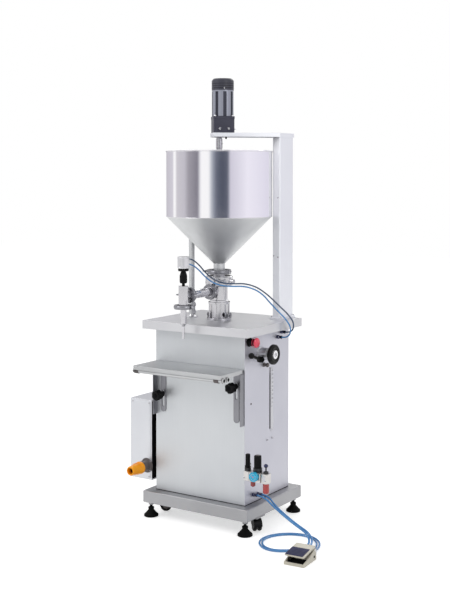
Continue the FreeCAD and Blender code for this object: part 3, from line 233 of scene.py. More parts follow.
# finishes
upright = (900.0, 900.0, 9.0)
crosswise = (9.0, 900.0, 900.0)
frontways = (900.0, 9.0, 900.0)
finishes = {
    "sheet": brushedMetal("brushedSheet", (0.8, 0.805, 0.82), (0.765, 0.77, 0.79), 0.36, crosswise),
    "table": brushedMetal("brushedTable", (0.8, 0.8, 0.81), (0.76, 0.76, 0.775), 0.34, crosswise),
    "shelf": brushedMetal("brushedShelf", (0.73, 0.735, 0.74), (0.68, 0.685, 0.69), 0.4, crosswise),
    "post": brushedMetal("paleColumn", (0.91, 0.915, 0.93), (0.88, 0.885, 0.905), 0.5, upright),
    "tube": brushedMetal("baseTube", (0.66, 0.66, 0.67), (0.61, 0.61, 0.62), 0.45, crosswise),
    # the bracket is the same steel painted darker: painted shade and dark reflection
    "bracket": brushedMetal("shadedBracketSheet", (0.54, 0.54, 0.56), (0.46, 0.46, 0.48), 0.38, upright),
    "clamp": brushedMetal("clampSteel", (0.55, 0.55, 0.57), (0.45, 0.45, 0.47), 0.28, upright, rounding=0.001),
    "polished": brushedMetal("polishedSteel", (0.79, 0.785, 0.8), (0.72, 0.72, 0.73), 0.18, upright,
                             spread=0.1, rounding=0.001),
    "aluminium": brushedMetal("turnedAluminium", (0.84, 0.84, 0.85), (0.8, 0.8, 0.81), 0.32, frontways,
                              rounding=0.001),
    "black": moulded("blackPlastic", (0.07, 0.07, 0.075), (0.045, 0.045, 0.05), 0.42, shine=0.1),
    "rubber": moulded("blackRubber", (0.06, 0.06, 0.06), (0.035, 0.035, 0.035), 0.55, 600.0, 0.00006, shine=0.05),
    "wheelRubber": moulded("casterTread", (0.08, 0.08, 0.08), (0.05, 0.05, 0.05), 0.5, 500.0, 0.00006, shine=0.08),
    "grey": moulded("greyPlastic", (0.4, 0.37, 0.37), (0.32, 0.3, 0.3), 0.4, shine=0.35),
    "white": moulded("sealPlastic", (0.93, 0.93, 0.91), (0.9, 0.9, 0.88), 0.35),
    "orange": moulded("orangePlastic", (1.0, 0.66, 0.03), (0.98, 0.57, 0.02), 0.34, coat=0.1, shine=0.35),
    "cyan": moulded("cyanPlastic", (0.1, 0.7, 0.85), (0.07, 0.62, 0.8), 0.22, coat=0.5),
    "redBowl": moulded("redBowl", (0.7, 0.13, 0.13), (0.55, 0.07, 0.08), 0.18, coat=0.6),
    "redPlastic": moulded("redPlastic", (0.93, 0.2, 0.34), (0.88, 0.14, 0.28), 0.25, coat=0.5),
    "darkBlue": moulded("darkBluePlastic", (0.1, 0.12, 0.32), (0.07, 0.09, 0.26), 0.3),
    "blueTube": moulded("blueTube", (0.26, 0.53, 0.76), (0.2, 0.46, 0.7), 0.22, 700.0, 0.00001, coat=0.4),
    "navyTube": moulded("navyTube", (0.16, 0.26, 0.38), (0.11, 0.19, 0.3), 0.25, 700.0, 0.00001, coat=0.4),
    "pedalPaint": moulded("pedalPaint", (0.8, 0.78, 0.72), (0.73, 0.71, 0.66), 0.36, 500.0, 0.00005),
    "navyPad": moulded("navyPad", (0.16, 0.17, 0.32), (0.11, 0.12, 0.25), 0.55, 500.0, 0.00006),
    # dark finish for real dark parts, and also for painted shade in slots, grooves, gaps and hollows
    "dark": moulded("darkPartsAndShade", (0.06, 0.06, 0.07), (0.04, 0.04, 0.05), 0.6, shine=0.05),
    "ink": moulded("printedMark", (0.36, 0.36, 0.42), (0.32, 0.32, 0.38), 0.5),
    "plateWhite": moulded("scalePlate", (0.86, 0.86, 0.88), (0.83, 0.83, 0.86), 0.4),
}


def hopperFinish():
    # mirror-polished wall over a satin cone
    made = Finish("hopperSteel")
    wall = made.along("Z", 1.2535, 1.2565)
    turned = made.effect(grainGroup, Stretch=(14.0, 14.0, 700.0), Amount=0.08)
    cloud = made.effect(smudgeGroup, Size=5.0, Low=0.35, High=0.7)["Mask"]
    cone = made.blend(cloud, (0.79, 0.795, 0.8), (0.73, 0.735, 0.74))
    rough = mathNode(made.tree, "ADD", made.blend(wall, 0.42, 0.1), turned["Spread"])
    made.feed(BaseColor=made.blend(wall, cone, (0.965, 0.96, 0.97)), Roughness=rough, Metallic=1.0)
    made.height(turned["Height"], 0.25, 0.00003, 0.001)
    return made


def motorFinish():
    # ribbed grey body under a darker fan cap, with painted shade in the grooves between the ribs
    made = Finish("motorPaint")
    cap = made.along("Z", 1.78, 1.7812)
    # mask for the painted shade: dark in the grooves between the ribs, light on the rib tips
    grooveShadeMask = made.reach((0.006, -0.008, 0), (1, 1, 0), 0.0425, 0.0445)
    body = made.blend(grooveShadeMask, (0.19, 0.195, 0.24), (0.58, 0.59, 0.64))
    made.feed(BaseColor=made.blend(cap, body, (0.19, 0.19, 0.24)), Roughness=made.blend(cap, 0.34, 0.45),
              Metallic=made.blend(cap, 0.5, 0.0))
    made.height(made.effect(pebbleGroup, Size=700.0)["Height"], 0.3, 0.00005, 0.001)
    return made


def wheelFinish():
    # black moulded rim on a bright hub
    made = Finish("handwheelFinish")
    rim = made.reach((0, -0.06, 0.708), (0, 1, 1), 0.0171, 0.0174)
    made.feed(BaseColor=made.blend(rim, (0.9, 0.9, 0.91), (0.06, 0.06, 0.065)),
              Roughness=made.blend(rim, 0.22, 0.4), Metallic=made.blend(rim, 1.0, 0.0), SpecularIORLevel=0.2)
    made.height(made.effect(pebbleGroup, Size=900.0)["Height"], 0.25, 0.00003, 0.0008)
    return made


def airUnitFinish():
    # cast body, black collars above it, and the darkest grey on the highest part
    made = Finish("airUnitFinish")
    collar = made.along("Z", 0.2581, 0.2584)
    top = made.along("Z", 0.278, 0.2785)
    low = made.blend(collar, (0.8, 0.79, 0.78), (0.08, 0.08, 0.09))
    made.feed(BaseColor=made.blend(top, low, (0.16, 0.17, 0.2)), Roughness=made.blend(collar, 0.36, 0.42),
              Metallic=made.blend(collar, 0.85, 0.0))
    made.height(made.effect(pebbleGroup, Size=420.0)["Height"], 0.3, 0.00006, 0.001)
    return made


def cabinetFinish():
    # cool brushed sheet, with painted shade on the right side, which is a little darker and more lavender than the
    # front
    made = Finish("cabinetSheet")
    side = made.along("X", 0.2185, 0.2195)
    grain = made.effect(grainGroup, Stretch=(700.0, 700.0, 7.0), Amount=0.22)
    cloud = made.effect(smudgeGroup, Size=2.2, Low=0.3, High=0.75)["Mask"]
    face = made.blend(cloud, (0.78, 0.79, 0.8), (0.735, 0.745, 0.76))
    # the right side's colour is painted shade and tint on the same sheet
    shadedFlank = made.blend(cloud, (0.77, 0.77, 0.8), (0.735, 0.735, 0.77))
    made.feed(BaseColor=made.blend(side, face, shadedFlank),
              Roughness=mathNode(made.tree, "ADD", grain["Spread"], 0.5), Metallic=1.0)
    made.height(grain["Height"], 0.3, 0.00004, 0.0018)
    return made


finishes["hopper"] = hopperFinish()
finishes["motor"] = motorFinish()
finishes["gears"] = moulded("gearboxPaint", (0.25, 0.25, 0.31), (0.21, 0.21, 0.27), 0.38, 600.0, 0.00006,
                             shine=0.35)
finishes["handwheel"] = wheelFinish()
finishes["airUnit"] = airUnitFinish()
finishes["cabinet"] = cabinetFinish()
print("finishes ready,", len(finishes))

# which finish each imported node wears
wornBy = {
    "tube": ["base_frame"],
    "cabinet": ["cabinet_shell"],
    "sheet": ["rear_door", "electric_box"],
    "table": ["table_top"],
    "shelf": ["work_shelf"],
    "bracket": ["shelf_brackets"],
    "clamp": ["pipe_clamps"],
    "post": ["mast_post", "mast_arm"],
    "gears": ["gearbox"],
    "motor": ["motor_body"],
    "hopper": ["hopper"],
    "polished": ["valve_body", "dosing_cylinder", "outlet_pipe", "nozzle_body", "nozzle_rod",
                 "lead_screw", "crosshead", "stirrer", "door_latch"],
    "aluminium": ["nozzle_cylinder", "air_cylinder", "wheel_bearing", "stop_carriage"],
    "airUnit": ["frl_body"],
    "cyan": ["pressure_gauge"],
    "redBowl": ["frl_bowls"],
    "black": ["nozzle_bonnet", "regulator_knob", "inlet_knob", "e_stop_base", "clamp_lever",
              "star_knob_left", "star_knob_right"],
    "darkBlue": ["tube_fittings"],
    "redPlastic": ["e_stop_head"],
    "handwheel": ["handwheel"],
    "white": ["dosing_piston"],
    "grey": ["power_socket"],
    "orange": ["power_plug"],
    "pedalPaint": ["pedal_base", "pedal_treadle"],
    "blueTube": ["air_tube_front", "pedal_tube_front", "pedal_tube_rear"],
    "navyTube": ["air_tube_rear"],
}
corners = ("front_left", "front_right", "rear_left", "rear_right")
wornBy["rubber"] = ["foot_" + corner for corner in corners]
wornBy["black"] += ["caster_fork_" + corner for corner in corners]
wornBy["wheelRubber"] = ["caster_wheel_" + corner for corner in corners]
for finishName, members in wornBy.items():
    for member in members:
        slots = nodes[member].data.materials
        if slots:
            for index in range(len(slots)):
                slots[index] = finishes[finishName].material
        else:
            slots.append(finishes[finishName].material)


# ways of making the small pieces

# the ways along which they stand
up, right, front, rear = (0, 0, 1), (1, 0, 0), (0, -1, 0), (0, 1, 0)


def addPiece(name, mesh, finish, body="machine", smooth=35):
    piece = bpy.data.objects.new(name, mesh)
    scene.collection.objects.link(piece)
    mesh.materials.append(finishes[finish].material)
    for face in mesh.polygons:
        face.use_smooth = True
    mesh.set_sharp_from_angle(angle=math.radians(smooth))
    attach(piece, body)
    return piece


def meshFrom(name, shape):
    mesh = bpy.data.meshes.new(name)
    shape.normal_update()
    shape.to_mesh(mesh)
    shape.free()
    return mesh


def axisTurn(axis):
    return Vector(axis).normalized().to_track_quat("Z", "Y").to_matrix().to_4x4()


def lathe(name, outline, place, axis, finish, body="machine", steps=32):
    # outline gives radius and height; the axis says which way it stands
    shape = bmesh.new()
    closed = len(outline) > 3 and math.dist(outline[0], outline[-1]) < 1e-7
    rings = []
    for radius, height in (outline[:-1] if closed else outline):
        if radius < 1e-6:
            rings.append([shape.verts.new((0, 0, height))])
        else:
            rings.append([shape.verts.new((radius * math.cos(2 * math.pi * k / steps),
                                           radius * math.sin(2 * math.pi * k / steps), height))
                          for k in range(steps)])
    pairs = list(zip(rings, rings[1:]))
    if closed:
        pairs.append((rings[-1], rings[0]))
    for low, high in pairs:
        for k in range(steps):
            a, b = low[k % len(low)], low[(k + 1) % steps % len(low)]
            c, d = high[(k + 1) % steps % len(high)], high[k % len(high)]
            corner = []
            for vert in (a, b, c, d):
                if vert not in corner:
                    corner.append(vert)
            if len(corner) > 2:
                shape.faces.new(corner)
    bmesh.ops.transform(shape, matrix=Matrix.Translation(place) @ axisTurn(axis), verts=shape.verts)
    bmesh.ops.recalc_face_normals(shape, faces=shape.faces)
    return addPiece(name, meshFrom(name, shape), finish, body)


def hexHead(name, place, axis, size, tall, finish="polished", body="machine"):
    # a hexagon head with its top chamfered round
    outline = [(0, 0), (size * 0.55, 0), (size * 0.55, tall * 0.8), (size * 0.47, tall), (0, tall)]
    return lathe(name, outline, place, axis, finish, body, steps=6)


def capScrew(name, place, axis, size, finish="polished", body="machine"):
    # a round head with a socket sunk in it; size is its radius
    return lathe(name, [(size, 0), (size, size * 0.75), (size * 0.85, size), (size * 0.5, size),
                        (size * 0.45, size * 0.4), (0, size * 0.4)], place, axis, finish, body, steps=20)

# air tubes: each one smooth line through its route, in metres
airTubes = {
    "airTubeRear": {
        "node": "air_tube_rear", "finish": "navyTube", "radius": 0.003, "length": 0.647,
        "lay": "hanging", "route": [
            (-0.012, -0.234, 1.091), (-0.012, -0.212, 1.091), (-0.002, -0.176, 1.068), (0.008, -0.14, 1.03),
            (0.026, -0.108, 1.000), (0.06, -0.088, 0.985), (0.104, -0.074, 0.984), (0.146, -0.054, 0.986),
            (0.18, -0.024, 0.972), (0.2, 0.008, 0.948), (0.214, 0.04, 0.922), (0.238, 0.068, 0.886),
            (0.266, 0.086, 0.855), (0.285, 0.097, 0.825), (0.284, 0.104, 0.8015), (0.2755, 0.1075, 0.7845),
            (0.259, 0.108, 0.775), (0.24, 0.108, 0.775)]},
    "airTubeFront": {
        "node": "air_tube_front", "finish": "blueTube", "radius": 0.003, "length": 0.636,
        "lay": "hanging", "route": [
            (-0.012, -0.234, 1.069), (-0.012, -0.212, 1.069), (-0.003, -0.176, 1.047), (0.006, -0.141, 1.014),
            (0.024, -0.112, 0.988), (0.058, -0.094, 0.975), (0.103, -0.082, 0.974), (0.146, -0.063, 0.976),
            (0.182, -0.033, 0.962), (0.203, -0.001, 0.936), (0.214, 0.027, 0.905), (0.237, 0.052, 0.87),
            (0.266, 0.066, 0.838), (0.285, 0.074, 0.8075), (0.284, 0.079, 0.7835), (0.2755, 0.08, 0.7665),
            (0.259, 0.08, 0.757), (0.24, 0.08, 0.757)]},
    "pedalTubeFront": {
        "node": "pedal_tube_front", "finish": "blueTube", "radius": 0.004, "length": 1.046,
        "lay": "loose", "route": [
            (0.24, -0.113, 0.143), (0.272, -0.113, 0.143), (0.3193, -0.1185, 0.114), (0.3754, -0.1255, 0.084),
            (0.4322, -0.1305, 0.058), (0.4753, -0.1238, 0.034), (0.5009, -0.1459, 0.014), (0.5083, -0.1857, 0.004),
            (0.4961, -0.2261, 0.004), (0.4646, -0.2576, 0.004), (0.4228, -0.2823, 0.004), (0.3803, -0.2768, 0.004),
            (0.3445, -0.2466, 0.004), (0.3255, -0.2039, 0.004), (0.3274, -0.1575, 0.004), (0.3503, -0.1155, 0.004),
            (0.3867, -0.085, 0.004), (0.4321, -0.0717, 0.004), (0.4774, -0.083, 0.004), (0.5136, -0.1135, 0.004),
            (0.5358, -0.155, 0.004), (0.5467, -0.1993, 0.005), (0.54489, -0.24091, 0.02),
            (0.54656, -0.26485, 0.02)]},
    "pedalTubeRear": {
        "node": "pedal_tube_rear", "finish": "blueTube", "radius": 0.004, "length": 1.1345,
        "lay": "loose", "route": [
            (0.24, -0.076, 0.137), (0.272, -0.076, 0.137), (0.3207, -0.1075, 0.114), (0.3766, -0.1145, 0.084),
            (0.4318, -0.1195, 0.058), (0.4787, -0.1122, 0.034), (0.5111, -0.1401, 0.014), (0.5197, -0.1863, 0.004),
            (0.5059, -0.2319, 0.004), (0.4714, -0.2664, 0.004), (0.4252, -0.2937, 0.004), (0.3757, -0.2872, 0.004),
            (0.3355, -0.2534, 0.004), (0.3145, -0.2061, 0.004), (0.3166, -0.1545, 0.004), (0.3417, -0.1085, 0.004),
            (0.3813, -0.075, 0.004), (0.4319, -0.0603, 0.004), (0.4826, -0.073, 0.004), (0.5224, -0.1065, 0.004),
            (0.5462, -0.151, 0.004), (0.5573, -0.1967, 0.005), (0.55686, -0.24007, 0.02),
            (0.55853, -0.26402, 0.02)]},
}


def makeTube(name, spec):
    curve = bpy.data.curves.new(name, "CURVE")
    curve.dimensions = "3D"
    curve.bevel_depth = spec["radius"]
    curve.bevel_resolution = 4
    curve.resolution_u = 10
    curve.use_fill_caps = True
    spline = curve.splines.new("NURBS")
    spline.points.add(len(spec["route"]) - 1)
    for point, place in zip(spline.points, spec["route"]):
        point.co = (*place, 1)
    spline.order_u = 3
    spline.use_endpoint_u = True
    tube = bpy.data.objects.new(name, curve)
    scene.collection.objects.link(tube)
    curve.materials.append(finishes[spec["finish"]].material)
    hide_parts(spec["node"])
    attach(tube, "machine")
    return tube


tubes = {name: makeTube(name, spec) for name, spec in airTubes.items()}
print("air tubes laid")


# more shapes that several pieces share

def ringOf(name, radius, thick, place, axis, finish, body="machine", flat=1.0, steps=48):
    # a round bead bent into a ring
    outline = [(radius + thick * math.cos(k * math.pi / 5), thick * flat * math.sin(k * math.pi / 5))
               for k in range(11)]
    return lathe(name, outline, place, axis, finish, body, steps)


def barsOf(name, spans, finish, body="machine", soft=0.0003, turn=None, segments=1):
    # many small softened bars in one piece
    shape = bmesh.new()
    for low, high in spans:
        low, high = Vector(low), Vector(high)
        size = high - low
        made = bmesh.ops.create_cube(shape, size=1)["verts"]
        grow = Matrix.Translation((low + high) / 2) @ Matrix.Diagonal((*size, 1))
        bmesh.ops.transform(shape, matrix=grow, verts=made)
        edges = list({edge for vert in made for edge in vert.link_edges})
        bmesh.ops.bevel(shape, geom=edges, offset=min(soft, min(size) * 0.3), segments=segments,
                        affect="EDGES")
    if turn:
        bmesh.ops.transform(shape, matrix=turn, verts=shape.verts)
    return addPiece(name, meshFrom(name, shape), finish, body)


def spokesOf(name, count, near, far, low, high, half, place, axis, finish, body="machine"):
    # short bars laid out round an axis, such as knurling or dial marks
    shape = bmesh.new()
    for k in range(count):
        made = bmesh.ops.create_cube(shape, size=1)["verts"]
        grow = (Matrix.Rotation(2 * math.pi * k / count, 4, "Z")
                @ Matrix.Translation(((near + far) / 2, 0, (low + high) / 2))
                @ Matrix.Diagonal((far - near, 2 * half, high - low, 1)))
        bmesh.ops.transform(shape, matrix=grow, verts=made)
    bmesh.ops.transform(shape, matrix=Matrix.Translation(place) @ axisTurn(axis), verts=shape.verts)
    return addPiece(name, meshFrom(name, shape), finish, body)


def wingNut(name, place, axis, finish="clamp", across="z"):
    # a boss with two rounded ears
    boss = lathe(name + "Boss", [(0.0065, 0), (0.0065, 0.004), (0.005, 0.009), (0.0035, 0.01), (0, 0.01)],
                 place, axis, finish)
    ears = []
    for side in (-1, 1):
        shift = {"x": (side * 0.014, 0, 0), "y": (0, side * 0.014, 0), "z": (0, 0, side * 0.014)}[across]
        spot = Vector(place) + Vector(axis) * 0.007 + Vector(shift)
        flat = Vector(axis).cross(Vector(shift)).normalized()
        ears.append(lathe("%sEar%s" % (name, "A" if side < 0 else "B"),
                          [(0, -0.0022), (0.0085, -0.0022), (0.0105, 0), (0.0085, 0.0022), (0, 0.0022)],
                          spot, flat, finish, steps=20))
    return [boss] + ears


# cabinet: panel screws, scale beside the slot, painted shade round the slot and a painted shadow line along the
# cabinet's foot
panelX = 0.22
scale = {"near": 0.025, "far": 0.046, "low": 0.372, "high": 0.637, "thick": 0.0008,
         "empty": 0.475, "step": 0.01656, "marks": 10}
barsOf("scalePlate", [((panelX, scale["near"], scale["low"]),
                       (panelX + scale["thick"], scale["far"], scale["high"]))], "plateWhite", segments=2)
ticks = []
for k in range(scale["marks"] * 5 - 4):
    z = scale["empty"] + k * scale["step"] / 5
    reach = 0.0075 if k % 5 == 0 else 0.0042
    ticks.append(((panelX + 0.0006, scale["near"] + 0.0008, z - 0.00025),
                  (panelX + 0.001, scale["near"] + 0.0008 + reach, z + 0.00025)))
barsOf("scaleTicks", ticks, "ink", soft=0.00005)
for k in range(scale["marks"]):
    words = bpy.data.curves.new("scaleNumber%d" % k, "FONT")
    words.body = str(50 * k)
    words.size = 0.0066
    words.align_x = "LEFT"
    words.align_y = "CENTER"
    words.extrude = 0.0001
    number = bpy.data.objects.new("scaleNumber%d" % k, words)
    number.location = (panelX + 0.0009, scale["near"] + 0.0092, scale["empty"] + k * scale["step"])
    number.rotation_euler = (math.pi / 2, 0, math.pi / 2)
    scene.collection.objects.link(number)
    words.materials.append(finishes["ink"].material)
    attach(number, "machine")
for k, (y, z) in enumerate(((0.0355, 0.3765), (0.0355, 0.6325))):
    capScrew("scaleScrew%d" % k, (panelX + 0.0007, y, z), right, 0.0018)
for k, (y, z) in enumerate(((-0.0025, 0.342), (0.037, 0.344))):
    capScrew("panelScrew%d" % k, (panelX, y, z), right, 0.0042)
lathe("ventKnob", [(0, 0), (0.009, 0), (0.009, 0.003), (0.0065, 0.005), (0.0065, 0.012), (0.0085, 0.013),
                   (0.0085, 0.019), (0.007, 0.021), (0, 0.021)], (panelX, -0.026, 0.656), right, "grey")
spokesOf("ventKnobGrip", 16, 0.0083, 0.009, 0.0135, 0.0185, 0.0006, (panelX, -0.026, 0.656), right, "grey")
lathe("panelPlug", [(0, 0), (0.004, 0), (0.0034, 0.0014), (0, 0.0016)], (panelX, -0.126, 0.512), right, "grey")
# dark bars round the slot: painted shade along its edges
slotShadeWidth = 0.001
barsOf("scaleSlotShade", [
    ((panelX, 0.0175 - slotShadeWidth, 0.385), (panelX + 0.0006, 0.0175, 0.637)),
    ((panelX, 0.0225, 0.385), (panelX + 0.0006, 0.0225 + slotShadeWidth, 0.637)),
    ((panelX, 0.0175 - slotShadeWidth, 0.385 - slotShadeWidth), (panelX + 0.0006, 0.0225 + slotShadeWidth, 0.385)),
    ((panelX, 0.0175 - slotShadeWidth, 0.637), (panelX + 0.0006, 0.0225 + slotShadeWidth, 0.637 + slotShadeWidth))], "dark")
# a thin dark bar along the cabinet's foot: painted shadow where it meets the base frame
barsOf("cabinetFootShadow", [((-0.2206, -0.1727, 0.1102), (0.2206, -0.1719, 0.1122)),
                       ((0.2199, -0.1727, 0.1102), (0.2207, 0.17, 0.1122))], "dark")
print("panel dressed")

# base frame: lock washers over the feet, and their soles and collars
for sx in (-1, 1):
    for sy in (-1, 1):
        side = ("front" if sy < 0 else "rear") + ("Left" if sx < 0 else "Right")
        foot = (sx * 0.233, sy * 0.191)
        footBody = "foot_" + ("front_" if sy < 0 else "rear_") + ("left" if sx < 0 else "right")
        ringOf("lockWasher" + side, 0.0105, 0.0014, (*foot, 0.0502), up, "polished", flat=0.6, steps=28)
        ringOf("footSole" + side, 0.0285, 0.0022, (*foot, 0.0026), up, "rubber", footBody, steps=40)
        lathe("footCollar" + side, [(0.0125, 0.0325), (0.0125, 0.0375), (0.01, 0.0393), (0.0062, 0.0393)],
              (*foot, 0), up, "rubber", footBody, steps=28)

# casters: a capped hub on each disc and a rubber tread line
casterSpots = {"front_left": (-0.233, -0.11, -54), "front_right": (0.233, -0.11, -133),
               "rear_left": (-0.15, 0.191, 150), "rear_right": (0.15, 0.191, 75)}
for corner, (x, y, yaw) in casterSpots.items():
    turn = math.radians(yaw)
    axle = Vector((math.cos(turn), math.sin(turn), 0))
    ahead = Vector((-axle.y, axle.x, 0))
    middle = Vector((x, y, 0.026)) + ahead * 0.014
    for side in (-1, 1):
        tag = corner.title().replace("_", "") + ("A" if side < 0 else "B")
        face = middle + axle * side * 0.016
        lathe("hubCap" + tag, [(0.004, -0.0005), (0.0125, -0.0005), (0.013, 0.0004), (0.0118, 0.0007),
                               (0.006, 0.0005), (0.004, 0.0002)],
              face, axle * side, "grey", "roller_" + corner, steps=28)
        ringOf("tread" + tag, 0.0218, 0.0022, middle + axle * side * 0.01, axle, "wheelRubber",
               "roller_" + corner, flat=1.9, steps=40)
    lathe("swivelCap" + corner.title().replace("_", ""),
          [(0.0151, -0.0095), (0.0158, -0.0085), (0.0158, -0.002), (0.015, -0.0008), (0.011, -0.0006)],
          (x, y, 0.0557), up, "polished", "fork_" + corner, steps=36)
print("feet and casters dressed")

# column, arm and motor
mast = {"left": 0.18, "right": 0.216, "front": 0.1055, "rear": 0.216, "plateTop": 0.834}
for k, (x, y) in enumerate(((0.1755, 0.108), (0.2205, 0.108), (0.1755, 0.211), (0.2205, 0.211))):
    hexHead("mastBolt%d" % k, (x, y, mast["plateTop"]), up, 0.0062, 0.004)
for k, z in enumerate((1.335, 1.086)):
    capScrew("mastScrew%d" % k, (0.2075, mast["front"] + 0.0003, z), front, 0.0034)
capScrew("mastScrew2", (0.1868, mast["front"] + 0.0003, 1.091), front, 0.003)
ringOf("shaftGuard", 0.0195, 0.0022, (-0.012, -0.008, 1.5875), up, "post", flat=0.9, steps=36)
hexHead("armBolt", (0.019, -0.003, 1.5985), (0, 0, -1), 0.0075, 0.0195, finish="black")
gearMiddle = (0.006, -0.008)
gearTurn = Matrix.Translation((*gearMiddle, 0)) @ Matrix.Rotation(math.radians(41.35), 4, "Z")
gearFace = gearTurn.to_3x3() @ Vector(front)
gearSide = gearTurn.to_3x3() @ Vector(right)
for k, (x, y) in enumerate(((-0.0365, -0.0365), (0.0365, -0.0365), (-0.0365, 0.0365), (0.0365, 0.0365))):
    capScrew("flangeScrew%d" % k, gearTurn @ Vector((x, y, 1.6721)), up, 0.0048)
for k, along in enumerate((-0.0185, 0.0185)):
    capScrew("gearFaceScrew%d" % k, gearTurn @ Vector((along, -0.044, 1.6206)), gearFace, 0.0056)
    capScrew("gearSideScrew%d" % k, gearTurn @ Vector((0.044, along, 1.6206)), gearSide, 0.0056)
capScrew("fanCapScrew", gearTurn @ Vector((0.0, -0.0456, 1.788)), gearFace, 0.003)
lathe("gearSeam", [(0.0447, -0.0006), (0.0455, -0.0004), (0.0455, 0.0004), (0.0447, 0.0006)],
      (*gearMiddle, 1.6726), up, "dark", steps=48)
# dark rings and bars on the fan cap: painted shade in its grooves and slots
for k in range(3):
    ringOf("capGrooveShade%d" % k, 0.0459, 0.0007, (*gearMiddle, 1.79 + 0.009 * k), up, "dark")
spokesOf("fanSlotShade", 24, 0.012, 0.03, 0, 0.0004, 0.0012, (*gearMiddle, 1.8289), up, "dark")
print("motor dressed")

# hopper: rolled rim, weld bead, neck ring
feed = (-0.012, -0.008)
ringOf("hopperRim", 0.2212, 0.0022, (*feed, 1.5262), up, "polished", steps=128)
ringOf("coneWeld", 0.2207, 0.0011, (*feed, 1.2562), up, "polished", flat=0.8, steps=128)
ringOf("neckWeld", 0.0242, 0.0012, (*feed, 1.059), up, "polished", steps=40)
lathe("stayFoot", [(0.0127, 0.011), (0.015, 0.007), (0.0215, 0.0058), (0.0235, 0.005)],
      (-0.149, -0.013, 0.824), up, "polished", steps=36)
ringOf("shaftCoupling", 0.0134, 0.0008, (*feed, 1.548), up, "polished", "stirrer", steps=36)
ringOf("shaftCouplingTop", 0.0134, 0.0008, (*feed, 1.572), up, "polished", "stirrer", steps=36)
capScrew("couplingScrew", (feed[0] + 0.0133, feed[1], 1.56), right, 0.0032, body="stirrer")

# clamp rings: a ridge round each, a hinge lug and a wing nut
nozzle = (-0.012, -0.266)
clamps = {
    "neck": {"at": (*feed, 1.024), "axis": up, "out": 0.05, "nut": (-1, 0, 0), "ears": "y"},
    "pipeRear": {"at": (feed[0], -0.078, 0.945), "axis": front, "out": 0.031, "nut": (-1, 0, 0), "ears": "y"},
    "pipeFront": {"at": (feed[0], -0.226, 0.945), "axis": front, "out": 0.031, "nut": (-1, 0, 0), "ears": "y"},
    "nozzle": {"at": (*nozzle, 0.901), "axis": up, "out": 0.038, "nut": right, "ears": "z"},
}
for name, spec in clamps.items():
    ringOf(name + "ClampRidge", spec["out"] - 0.0002, 0.0022, spec["at"], spec["axis"], "clamp", flat=2.2)
    place = Vector(spec["at"]) + Vector(spec["nut"]) * (spec["out"] + 0.0065)
    wingNut(name + "Wing", place, spec["nut"], across=spec["ears"])
    away = Vector(spec["at"]) - Vector(spec["nut"]) * (spec["out"] + 0.001)
    hexHead(name + "Hinge", away - Vector(spec["axis"]) * 0.008, spec["axis"], 0.0045, 0.016)

# valve body, dosing cylinder and nozzle
for k in range(6):
    angle = math.radians(30 + 60 * k)
    hexHead("headBolt%d" % k, (feed[0] + 0.05 * math.cos(angle), feed[1] + 0.05 * math.sin(angle), 1.0065),
            up, 0.0042, 0.003)
for k in range(4):
    angle = math.radians(45 + 90 * k)
    spot = (feed[0] + 0.041 * math.cos(angle), feed[1] + 0.041 * math.sin(angle))
    hexHead("tieNutLow%d" % k, (*spot, 0.832), up, 0.0075, 0.006)
    hexHead("tieNutHigh%d" % k, (*spot, 0.89), (0, 0, -1), 0.0075, 0.006)
for k, side in enumerate((-1, 1)):
    wingNut("footWing%d" % k, (feed[0] + side * 0.045, feed[1], 0.8365), up, across="y")
ringOf("valveBand", 0.0581, 0.0014, (*feed, 0.9795), up, "polished", flat=1.2, steps=64)
lathe("valveCap", [(0.0092, 0), (0.0118, 0.0015), (0.0118, 0.0085), (0.01, 0.0105), (0.0085, 0.011)],
      (feed[0] + 0.052, feed[1], 0.986), right, "polished", steps=28)
ringOf("nozzleLip", 0.0121, 0.0013, (*nozzle, 0.834), up, "polished", steps=32)
ringOf("spoutBand", 0.0056, 0.0008, (*nozzle, 0.8225), up, "polished", steps=24)
for k, (radius, z) in enumerate(((0.0241, 1.0615), (0.0241, 1.0985))):
    ringOf("airCylinderRing%d" % k, radius, 0.0009, (*nozzle, z), up, "aluminium", steps=48)
for k in range(4):
    angle = math.radians(45 + 90 * k)
    spot = (nozzle[0] + 0.016 * math.cos(angle), nozzle[1] + 0.016 * math.sin(angle), 1.1005)
    capScrew("airCylinderScrew%d" % k, spot, up, 0.0024)
for k, z in enumerate((1.091, 1.069)):
    lathe("portNut%d" % k, [(0.0074, 0), (0.0078, 0.001), (0.0078, 0.005), (0.007, 0.0058), (0.005, 0.0058)],
          (nozzle[0], -0.2458, z), rear, "polished", steps=6)
    lathe("portCollar%d" % k, [(0.005, 0), (0.0058, 0.0008), (0.0058, 0.003), (0.0045, 0.004), (0.0032, 0.004)],
          (nozzle[0], -0.2362, z), rear, "dark", steps=24)
spokesOf("bonnetRibs", 12, 0.014, 0.0152, 0.02, 0.046, 0.001, (*nozzle, 0.981), up, "black")
ringOf("bonnetFlange", 0.0212, 0.0011, (*nozzle, 1.0505), up, "black", flat=1.6, steps=40)
print("valve, clamps and nozzle dressed")

